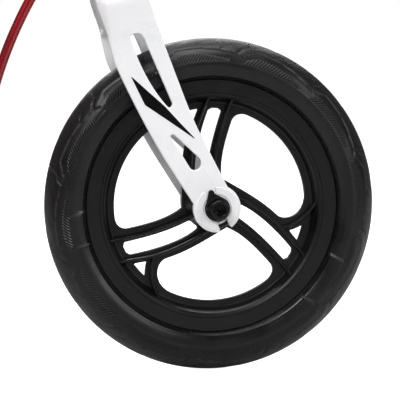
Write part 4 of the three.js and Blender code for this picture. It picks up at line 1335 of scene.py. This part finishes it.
# A foot deck of folded sheet with a raised pattern of drops for grip.
deck_outline = []
for cx, cy, first in ((18, 34, 0), (-38, 34, 90), (-38, -34, 180), (18, -34, 270)):
    deck_outline += arc((cx, cy), 16, first, first + 90, 12)
upright = Matrix(((1, 0, 0, 0), (0, 0, -1, 0), (0, 1, 0, 118), (0, 0, 0, 1)))
deck = moved(plate([deck_outline], 2.0, 0.8, 3), upright)
RAISED_DROP = lathe([(0, 1.0), (0.8, 0.9), (1.4, 0.5), (1.7, -0.2), (0, -0.2)], 20, closed=False)
DROP_PITCH = 9.0
drops = []
for row in range(-4, 5):
    for column in range(-4, 5):
        x, y = -10 + column * DROP_PITCH, row * DROP_PITCH
        if math.hypot(x + 57.5, y) < 26 or abs(column) + abs(row) > 6:
            continue
        turn = Matrix.Rotation(math.radians(45 if (row + column) % 2 else -45), 4, "Z")
        stretch = turn @ Matrix.Diagonal((2.5, 1, 1, 1)) @ Matrix.Rotation(math.radians(90), 4, "X")
        drops.append(moved(RAISED_DROP, Matrix.Translation((x, y, 120)) @ stretch))
piece("foot_deck_plate", merged(carved(deck, around_seat), *drops), OXIDE, "frame", "foot_deck", crease=50)

# ---------------------------------------------------------------- headset and steerer

cup = turned([(14.9, 210.3, 0.3), (20.8, 210.3, 0.8), (22.4, 213.0, 1.2), (22.4, 219.5, 1.2),
              (20.6, 221.7, 0.4), (16.3, 221.7, 0.3), (16.3, 232, 0.4), (14.9, 232, 0.3)], 0.4, 3, 96)
# Two lugs stop the fork's peg at the ends of its turn.
STOP_ANGLE = 62.5
stop_lug = block((-22, 206, -3), (-19.2, 212, 3), 0.5)
lugs = [moved(stop_lug, Matrix.Rotation(math.radians(a), 4, "Y")) for a in (-STOP_ANGLE, STOP_ANGLE)]
piece("headset_cup_low", moved(merged(cup, *lugs), STEERING), ANODISED, "frame", "headset_lower_cup")
cup = turned([(14.9, 320, 0.3), (20.8, 320, 0.8), (22.4, 317.6, 1.2), (22.4, 314.4, 1.2), (20.6, 312.3, 0.4),
              (16.3, 312.3, 0.3), (16.3, 302, 0.4), (14.9, 302, 0.3)], 0.4, 3, 96)
piece("headset_cup_high", moved(cup, STEERING), ANODISED, "frame", "headset_upper_cup")
for name, low in (("lower", 205.3), ("upper", 320.3)):
    race = turned([(14.6, low, 0.5), (18.5, low, 0.8), (18.5, low + 1.7, 0.4), (17.4, low + 2.0, 0.3),
                   (17.4, low + 2.7, 0.3), (18.5, low + 3.0, 0.4), (18.5, low + 4.7, 0.8),
                   (14.6, low + 4.7, 0.5)], 0.4, 3, 96)
    piece(f"headset_{name}_ball_bearing", moved(race, STEERING), STEEL, "frame", f"headset_{name}_bearing")
hexagon = stacked([(17.0, 325.3), (17.6, 325.5, 6), (18.0, 326.4, 6), (18.0, 332.2, 6), (17.6, 333.1, 6),
                   (16.8, 333.3), (15.4, 333.3), (14.6, 332.4), (14.6, 326.2), (15.4, 325.3)])
piece("headset_locknut", moved(loft(hexagon, ring=True), STEERING), ANODISED, "fork", "headset_nut")
threads = [(11.3, STEERER_LOW, 0.3), (STEERER_RADIUS, STEERER_LOW, 0.5), (STEERER_RADIUS, 333.6, 0.2)]
for k in range(2):
    threads += [(13.9, 334.2 + 1.2 * k, 0.1), (STEERER_RADIUS, 334.8 + 1.2 * k, 0.1)]
threads += [(STEERER_RADIUS, STEERER_TOP, 0.7), (11.3, STEERER_TOP, 0.3)]
piece("steerer_tube_shell", moved(turned(threads, 0.3, 2, 96), STEERING), OXIDE, "fork", "steerer_tube")

# ---------------------------------------------------------------- stem, handlebar and grips

BAR_CENTRE = STEERING @ Vector((0, BAR_STATION, 0))
BAR_RADIUS = 11.1
GRIP_START = Vector((-14, 96, 30))
GRIP_SWEEP = math.radians(8)
half_bar = [Vector((0, y, 0)) for y in (0, 5)] + [
    Vector(p) for p in bezier((0, 5, 0), (0, 34, 0), (-9, 66, 30), GRIP_START, steps=36)]
half_bar += [GRIP_START + Vector((-math.sin(GRIP_SWEEP), math.cos(GRIP_SWEEP), 0)) * d for d in (4, 50, 99.6)]
other_half = [Vector((p.x, -p.y, p.z)) for p in half_bar[:0:-1]]
bar_line = [BAR_CENTRE + p for p in other_half + half_bar]
handlebar = hollow(bar_line, BAR_RADIUS, 9.5, 48, (1, 0, 0))
piece("handlebar_tube", handlebar, ANODISED, "handlebar", "handlebar", crease=45)

post_profile = [(8.8, 230, 0.3), (11.0, 230, 0.8)]
for station in (366, 376, 386, 396):
    post_profile += [(r, station + up, 0) for r, up in ((11.0, 0), (10.75, 0.2), (10.75, 0.7), (11.0, 0.9))]
post_profile += [(11.0, BAR_STATION, 0), (8.8, BAR_STATION, 0)]
post = moved(turned(post_profile, 0.3, 2, 96), STEERING)
post = carved(post, sweep(bar_line, BAR_RADIUS + 0.03, 48, (1, 0, 0)))
seam = []
for i in range(72):
    angle = TURN * i / 72
    sideways = 11.0 * math.sin(angle)
    down = math.sqrt(max((BAR_RADIUS + 0.1) ** 2 - (11.0 * math.cos(angle)) ** 2, 0.3))
    seam.append(STEERING @ Vector((11.0 * math.cos(angle), BAR_STATION - down, sideways)))
piece("stem_post_tube", merged(post, weld_bead(seam, 1.25, 9)), ANODISED, "handlebar", "stem_post",
      crease=45)


def grip_form():
    """A child's grip: a rounded inner guard, fluted rings between two smooth bands, and a thick outer end."""
    rings = stacked([(11.4, 100.4), (11.4, 2.2), (12.0, 1.2), (13.5, 1.0), (17.6, 1.0), (18.7, 1.5),
                     (19.0, 2.8), (18.8, 4.2), (17.6, 5.3), (15.6, 6.1), (14.6, 7.4), (14.4, 9.0),
                     (14.4, 11.6)])
    start, stop, pitch = 12.6, 86.0, 4.6
    bands = int((stop - start) / pitch)
    for band in range(bands):
        low = start + band * pitch
        for share, radius, ripple in ((0.0, 13.5, 0), (0.14, 13.5, 0), (0.3, 14.3, -0.5), (0.5, 14.5, -0.6),
                                      (0.84, 14.3, -0.5), (0.98, 13.5, 0)):
            ring = []
            for i in range(RING_POINTS):
                angle = TURN * i / RING_POINTS
                wave = 0.5 - 0.5 * math.cos(angle * 24 + (math.pi if band % 2 else 0))
                r = radius + ripple * smooth_step(wave, 0.35, 0.8)
                ring.append(Vector((r * math.cos(angle), low + share * pitch, r * math.sin(angle))))
            rings.append(ring)
    rings += stacked([(14.4, 87.2), (14.4, 92.6), (15.0, 94.6), (15.8, 96.4), (16.0, 97.6), (16.0, 101.8),
                      (15.6, 103.3), (14.5, 104.1), (13.0, 104.3), (9.4, 104.3), (8.8, 104.0), (8.4, 103.2),
                      (7.4, 102.9), (0.3, 102.9)])
    return loft([placed_ring(0.3, 100.4), *rings])


grip = moved(grip_form(), Matrix.Translation(BAR_CENTRE + GRIP_START) @ Matrix.Rotation(GRIP_SWEEP, 4, "Z"))
for name, form in (("left", grip), ("right", mirrored(grip))):
    piece(f"{name}_rubber_grip", form, RUBBER, "handlebar", f"grip_{name}", crease=40)

# ---------------------------------------------------------------- quick-release clamps

ALONG_RIGHT = Matrix.Rotation(math.radians(90), 4, "X")


def lever_form():
    """A cam lever in X and Z about its pivot: a forked cam with its pin, and a thumb blade that tapers."""
    outline = [(4.9, 4.4), (14, -4.2, 5)]
    outline += bezier((14, -4.2), (34, -7.2), (50, -5.4), steps=14)
    outline += bezier((50, -5.4), (53, -8), (50, -9.6), steps=6)
    outline += bezier((50, -9.6), (32, -12.5), (12, -9.5), steps=14) + [(3.3, -6.0)]
    outline += arc((0, 0), 6.7, -66, -318, 36)
    body = plate([rounded(outline, 1.2, 3)], 6.6, 1.4, 4)
    shaped = []
    for v in body[0]:
        share = smooth_step(v.x, 6, 46)
        thumb = smooth_step(v.x, 24, 34) * (1 - smooth_step(v.x, 44, 50))
        hollowed = 1.1 * thumb * max(1 - (v.y / 4.6) ** 2, 0)
        outer = v.z < -6.5 - 1.5 * smooth_step(v.x, 12, 20)
        shaped.append(Vector((v.x, v.y * (1 - 0.2 * share), v.z + (hollowed if outer else 0))))
    slot = cylinder(5.2, -3.3, 3.3, Matrix(), 40)
    swing = block((-9, -3.3, -9), (3.6, 3.3, 9), 0.01, 1)
    return carved(carved((shaped, body[1]), slot), swing)


def pin_form():
    """The cross pin that joins the cam to the skewer."""
    return turned([(0, -6.75), (2.0, -6.75, 0.4), (2.0, 6.75, 0.4), (0, 6.75)], 0.3, 2, 32, closed=False)


def clamp(prefix, place, bore, low, body):
    """A quick-release clamp round a tube: a split collar with two ears, its skewer, nut and cam lever."""
    high, outer = low + 17, bore + 5.5
    middle = (low + high) / 2
    back = -(outer + 13)
    skewer_x = back + 6
    across = Matrix.Translation((skewer_x, middle, 0)) @ ALONG_RIGHT
    groove = [(bore, low, 0.5), (outer - 0.6, low, 1.2), (outer, low + 2.6, 0.6), (outer, middle - 3.4, 0.3),
              (outer - 0.7, middle - 2.8, 0.3), (outer - 0.7, middle + 2.8, 0.3), (outer, middle + 3.4, 0.3),
              (outer, high - 2.6, 0.6), (outer - 0.6, high, 1.2), (bore, high, 0.5)]
    ring = turned(groove, 0.5, 3, 96)
    ears = block((back, low + 0.6, -9), (-bore - 2.2, high - 0.6, 9), 2.2, 4)
    slit = block((back - 1, low - 1, -1.2), (-bore + 2, high + 1, 1.2), 0.01, 1)
    collar = carved(fused(ring, ears), cylinder(bore, low - 1, high + 1, Matrix(), 96), slit,
                    cylinder(2.8, -12, 12, across, 32))
    piece(f"{prefix}_split_collar", moved(collar, place), ANODISED, body, f"{prefix}_collar", crease=40)
    pivot = -16.1
    shank = moved(turned([(0, pivot + 3.6), (2.5, pivot + 3.6, 0.1), (2.5, 16.6, 0.5), (0, 16.6)], 0.4, 2, 40,
                         closed=False), across)
    eye = moved(turned([(2.3, -3, 0.4), (4.6, -3, 0.5), (4.6, 3, 0.5), (2.3, 3, 0.4)], 0.4, 2, 40),
                Matrix.Translation((skewer_x, middle, pivot)))
    piece(f"{prefix}_skewer_rod", moved(merged(shank, eye), place), OXIDE, body, f"{prefix}_skewer")
    rings = stacked([(3.0, 9.4), (5.9, 9.3), (6.4, 9.9, 6), (6.4, 11.5, 6), (6.4, 14.4, 6), (6.1, 15.3, 6),
                     (5.3, 16.0), (3.4, 16.0), (2.8, 15.4), (2.8, 10.0)])
    nut = moved(loft(rings, ring=True), across)
    piece(f"{prefix}_skewer_nut", moved(nut, place), OXIDE, body, f"{prefix}_nut")
    lever_place = place @ Matrix.Translation((skewer_x, middle, pivot))
    lever = merged(lever_form(), pin_form())
    owner = prefix.replace("_clamp", "_lever")
    piece(f"{owner}_blade", moved(lever, lever_place), ANODISED, owner, f"{prefix}_lever", crease=40)


clamp("bar_clamp", STEERING, STEERER_RADIUS + 0.3, STEERER_TOP - 20, "fork")
clamp("seat_clamp", SEAT_AXIS, SEAT_RADIUS + 0.3, SEAT_TUBE_LENGTH - 16, "frame")

# ---------------------------------------------------------------- seat

SEAT_PLATE_LOW, SEAT_PLATE_HIGH = 327.0, 331.0


def seat_point(z):
    """The point of the seat's axis at a height over the ground."""
    return SEAT_AXIS @ Vector((0, (z - SEAT_FOOT[2]) / math.cos(SEAT_LEAN), 0))


HEAD = seat_point(SEAT_PLATE_LOW)
SHELL_LOW, SHELL_HIGH, PAD_LOW, PAD_HIGH = 331.3, 336.3, 336.6, 369.6


def laid(loops, half, edge, steps, level):
    """A plate whose loops are given forward and to the left of the post's head, laid flat at a height."""
    overhead = Matrix(((1, 0, 0, HEAD.x), (0, 0, -1, 0), (0, 1, 0, level), (0, 0, 0, 1)))
    return moved(plate(loops, half, edge, steps), overhead)


tube_top = (SEAT_PLATE_HIGH + 1 - SEAT_FOOT[2]) / math.cos(SEAT_LEAN)
tube_line = [SEAT_AXIS @ Vector((0, station, 0)) for station in (40, 41, 120, 200, tube_top)]
above_plate = block((-300, -80, SEAT_PLATE_HIGH - 0.1), (0, 80, 400), 0.01, 1)
post_tube = carved(hollow(tube_line, 12.7, 10.7, 64), above_plate)
flange = rounded([(-26, -20, 6), (26, -20, 6), (26, 20, 6), (-26, 20, 6)], 6, 6)
flange = laid([flange], 2.0, 0.7, 3, 329)
rivets = []
for x in (-19, 19):
    for y in (-14, 14):
        dome = lathe([(0, -1.7), (1.6, -1.5), (2.7, -0.9), (3.1, 0.1), (0, 0.1)], 32, closed=False)
        rivets.append(moved(dome, Matrix.Translation((HEAD.x + x, y, SEAT_PLATE_LOW)) @ ALONG_RIGHT))
forward, left = Vector((1, 0, 0)), Vector((0, 1, 0))
ring = oval_at(seat_point(SEAT_PLATE_LOW - 0.4), forward, left, 12.8 / math.cos(SEAT_LEAN), 12.8, 72)
piece("seat_post_tube", merged(post_tube, flange, *rivets, weld_bead(ring, 1.5, 12)), OXIDE, "seat",
      "seat_post", crease=45)


def saddle_outline(shrink, steps=22):
    """The saddle seen from above, forward and to the left of the post's head."""
    nose, tail, wide = 96 - shrink, -104 + shrink, 66 - shrink
    neck = (nose - 50, 31 - shrink)
    half = bezier((nose, 0), (nose, 26 - shrink), (nose - 20, 27 - shrink), neck, steps=steps)
    half += bezier(neck, (nose - 95, 38 - shrink), (-40, wide), (tail + 34, wide), steps=steps)
    half += bezier((tail + 34, wide), (tail + 6, wide), (tail, 40), (tail + 4, 0), steps=steps)
    return [(nose, 0), *half, *[(x, -y) for x, y in half[-2::-1]]]


top_skin = laid([saddle_outline(0)], 1.1, 0.8, 3, SHELL_HIGH - 1.1)
pockets = []
inner = saddle_outline(7)


def inside_outline(x, y, outline):
    """Whether a point lies inside a closed line."""
    crossings = False
    for (x0, y0), (x1, y1) in zip(outline, outline[1:] + outline[:1]):
        if (y0 > y) != (y1 > y) and x < x0 + (y - y0) * (x1 - x0) / (y1 - y0):
            crossings = not crossings
    return crossings


cell = 15.0
for row in range(-7, 8):
    for column in range(-7, 8):
        x, y = column * cell, row * cell
        corners = [(x - 6, y - 6), (x + 6, y - 6), (x + 6, y + 6), (x - 6, y + 6)]
        on_flange = abs(x) < 36 and abs(y) < 30
        if not on_flange and all(inside_outline(*corner, inner) for corner in corners):
            pockets.append(rounded([(a, b, 2.5) for a, b in corners], 2.5, 3))
lattice = laid([saddle_outline(0.3), *pockets], 1.9, 0.5, 2, SHELL_LOW + 1.9)
piece("saddle_shell_moulding", merged(top_skin, lattice), NYLON, "seat", "saddle_shell", crease=40)


def pad_height(x, y, outline_width):
    """How high the filled pad stands over its base."""
    share = min(abs(y) / outline_width, 1.0)
    length = (x + 104) / 200
    ridge = 27.0 + 3.2 * smooth_step(length, 0.35, 0.0) + 1.6 * smooth_step(length, 0.7, 1.0)
    return ridge * (1 - 0.30 * share ** 2.2)


def width_at(x, outline):
    """Half width of the outline at a place along it."""
    best = 0.0
    for (x0, y0), (x1, y1) in zip(outline, outline[1:]):
        if y0 >= 0 and y1 >= 0 and min(x0, x1) <= x <= max(x0, x1) and x0 != x1:
            best = max(best, y0 + (y1 - y0) * (x - x0) / (x1 - x0))
    return best


def pad_form(shrink, low, lift):
    """A closed crowned form that fills the saddle's outline, from flat base to top."""
    outline = saddle_outline(shrink, 22)
    rings = []
    profile = [(0.0, 0.0), (0.012, 0.1), (0.02, 0.35), (0.03, 0.6), (0.06, 0.8), (0.12, 0.92), (0.22, 1.0)]
    profile += [(0.34, 1.0), (0.48, 1.0), (0.64, 1.0), (0.8, 1.0), (0.92, 1.0)]
    spine = [(x * 0.9 - 0.8, 0.0) for x, _ in outline]
    for inward, rise in profile:
        ring = []
        for (x, y), (sx, sy) in zip(outline, spine):
            px, py = x + (sx - x) * inward, y + (sy - y) * inward
            wide = max(width_at(px, outline), 6.0)
            ring.append(Vector((HEAD.x + px, py, low + lift * rise * pad_height(px, py, wide))))
        rings.append(ring)
    return loft([r[::-1] for r in rings])


def soft_pad():
    """The cushion, swollen by a cloth simulation over its shell."""
    start = to_bmesh(pad_form(4.5, PAD_LOW + 0.6, 0.86), MM)
    bmesh.ops.recalc_face_normals(start, faces=start.faces[:])
    bmesh.ops.triangulate(start, faces=[f for f in start.faces if len(f.verts) > 4])
    mesh = bpy.data.meshes.new("saddle_cushion")
    start.to_mesh(mesh)
    start.free()
    cushion = link(bpy.data.objects.new("saddle_cushion", mesh))
    remesh = cushion.modifiers.new("even", "REMESH")
    remesh.mode = "VOXEL"
    remesh.voxel_size = 0.0042
    bpy.context.view_layer.update()
    even = bpy.data.meshes.new_from_object(cushion.evaluated_get(bpy.context.evaluated_depsgraph_get()))
    cushion.modifiers.clear()
    cushion.data = even
    before = [v.co.copy() for v in even.vertices]
    pinned = cushion.vertex_groups.new(name="stapled")
    low = min(v.co.z for v in even.vertices)
    pinned.add([v.index for v in even.vertices if v.co.z < low + 0.003], 1.0, "REPLACE")
    cloth = cushion.modifiers.new("swell", "CLOTH")
    settings = cloth.settings
    settings.vertex_group_mass = "stapled"
    settings.use_pressure = True
    settings.uniform_pressure_force = 4.0
    settings.effector_weights.gravity = 0.0
    settings.quality = 6
    settings.mass = 0.4
    settings.tension_stiffness = settings.compression_stiffness = 12
    settings.bending_stiffness = 0.8
    cloth.point_cache.frame_start, cloth.point_cache.frame_end = 1, 20
    for number in range(1, 21):
        scene.frame_set(number)
        swollen = cushion.evaluated_get(bpy.context.evaluated_depsgraph_get())
    after = [v.co.copy() for v in swollen.to_mesh().vertices]
    swollen.to_mesh_clear()
    cushion.modifiers.clear()
    cushion.vertex_groups.clear()
    ceiling, floor_level = (PAD_HIGH - 0.4) * MM, PAD_LOW * MM
    for vert, old, new in zip(even.vertices, before, after):
        step = new - old
        if step.length > 0.006:
            step = step.normalized() * 0.006
        place = old + step
        soft = 0.004
        over = place.z - (ceiling - soft)
        if over > 0:
            place.z = ceiling - soft + soft * (1 - math.exp(-over / soft))
        place.z = max(place.z, floor_level)
        vert.co = place
    return cushion


cushion = soft_pad()
finer = cushion.modifiers.new("finer", "SUBSURF")
finer.levels = finer.render_levels = 1
refined = bpy.data.meshes.new_from_object(cushion.evaluated_get(bpy.context.evaluated_depsgraph_get()))
cushion.modifiers.clear()
cushion.data = refined

SEAM_INSET = 15.0
top_line = [Vector((HEAD.x + x, y)) for x, y in saddle_outline(SEAM_INSET, 22)]
seam_line = [(p.x, p.y) for p in top_line] + [(top_line[0].x, top_line[0].y)]
for vert in refined.vertices:
    x, y, z = vert.co / MM
    if z > PAD_LOW + 14:
        away = distance_to_line(x, y, seam_line)
        if away < 6:
            vert.co = (Vector((x, y, z)) - vert.normal * (1.5 * math.exp(-(away / 2.0) ** 2))) * MM
for vert in refined.vertices:
    vert.co.z = max(vert.co.z, PAD_LOW * MM)
refined.shade_smooth()
refined.materials.clear()
refined.materials.append(VINYL)
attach(cushion, "seat")
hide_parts("saddle_pad")

# Stitches lie in pairs of rows beside the sewn channel.
surface = BVHTree.FromPolygons([v.co.copy() for v in refined.vertices],
                               [list(p.vertices) for p in refined.polygons])


def on_cushion(x, y):
    """The point of the cushion's top under a place, in millimetres, and the direction it faces."""
    hit, normal, _, _ = surface.ray_cast(Vector((x * MM, y * MM, 0.5)), Vector((0, 0, -1)))
    return (hit / MM, normal) if hit else (None, None)


stitches = []
for inset in (SEAM_INSET - 3.2, SEAM_INSET + 3.2):
    line = [Vector((HEAD.x + x, y)) for x, y in saddle_outline(inset, 22)]
    line.append(line[0])
    total = sum((b - a).length for a, b in zip(line, line[1:]))
    places, _ = evenly([(p.x, p.y) for p in line], round(total / 1.05) // 4 * 4)
    for k in range(0, len(places) - 4, 4):
        chain = []
        for j in range(4):
            hit, normal = on_cushion(*places[k + j])
            if hit is None:
                break
            chain.append(hit + normal * (0.28 - 0.34 * abs(j - 1.5) / 1.5))
        if len(chain) == 4:
            stitches.append(sweep(chain, lambda t: 0.34 + 0.1 * math.sin(math.pi * t), 8))
piece("saddle_stitching", merged(*stitches), THREAD, "seat")

welt = [Vector((HEAD.x + x, y, PAD_LOW + 1.75)) for x, y in saddle_outline(2.0, 30)[:-1]]
piece("saddle_edge_piping", sweep_ring(welt, 1.6, 16), VINYL, "seat")

# ---------------------------------------------------------------- finishes on the CAD pieces that stay

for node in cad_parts.values():
    slots = node.data.materials
    for index, held in enumerate(slots):
        known = [slot for slot in CAD_FINISH if held and held.name.startswith(slot)]
        if known:
            slots[index] = CAD_FINISH[known[0]]
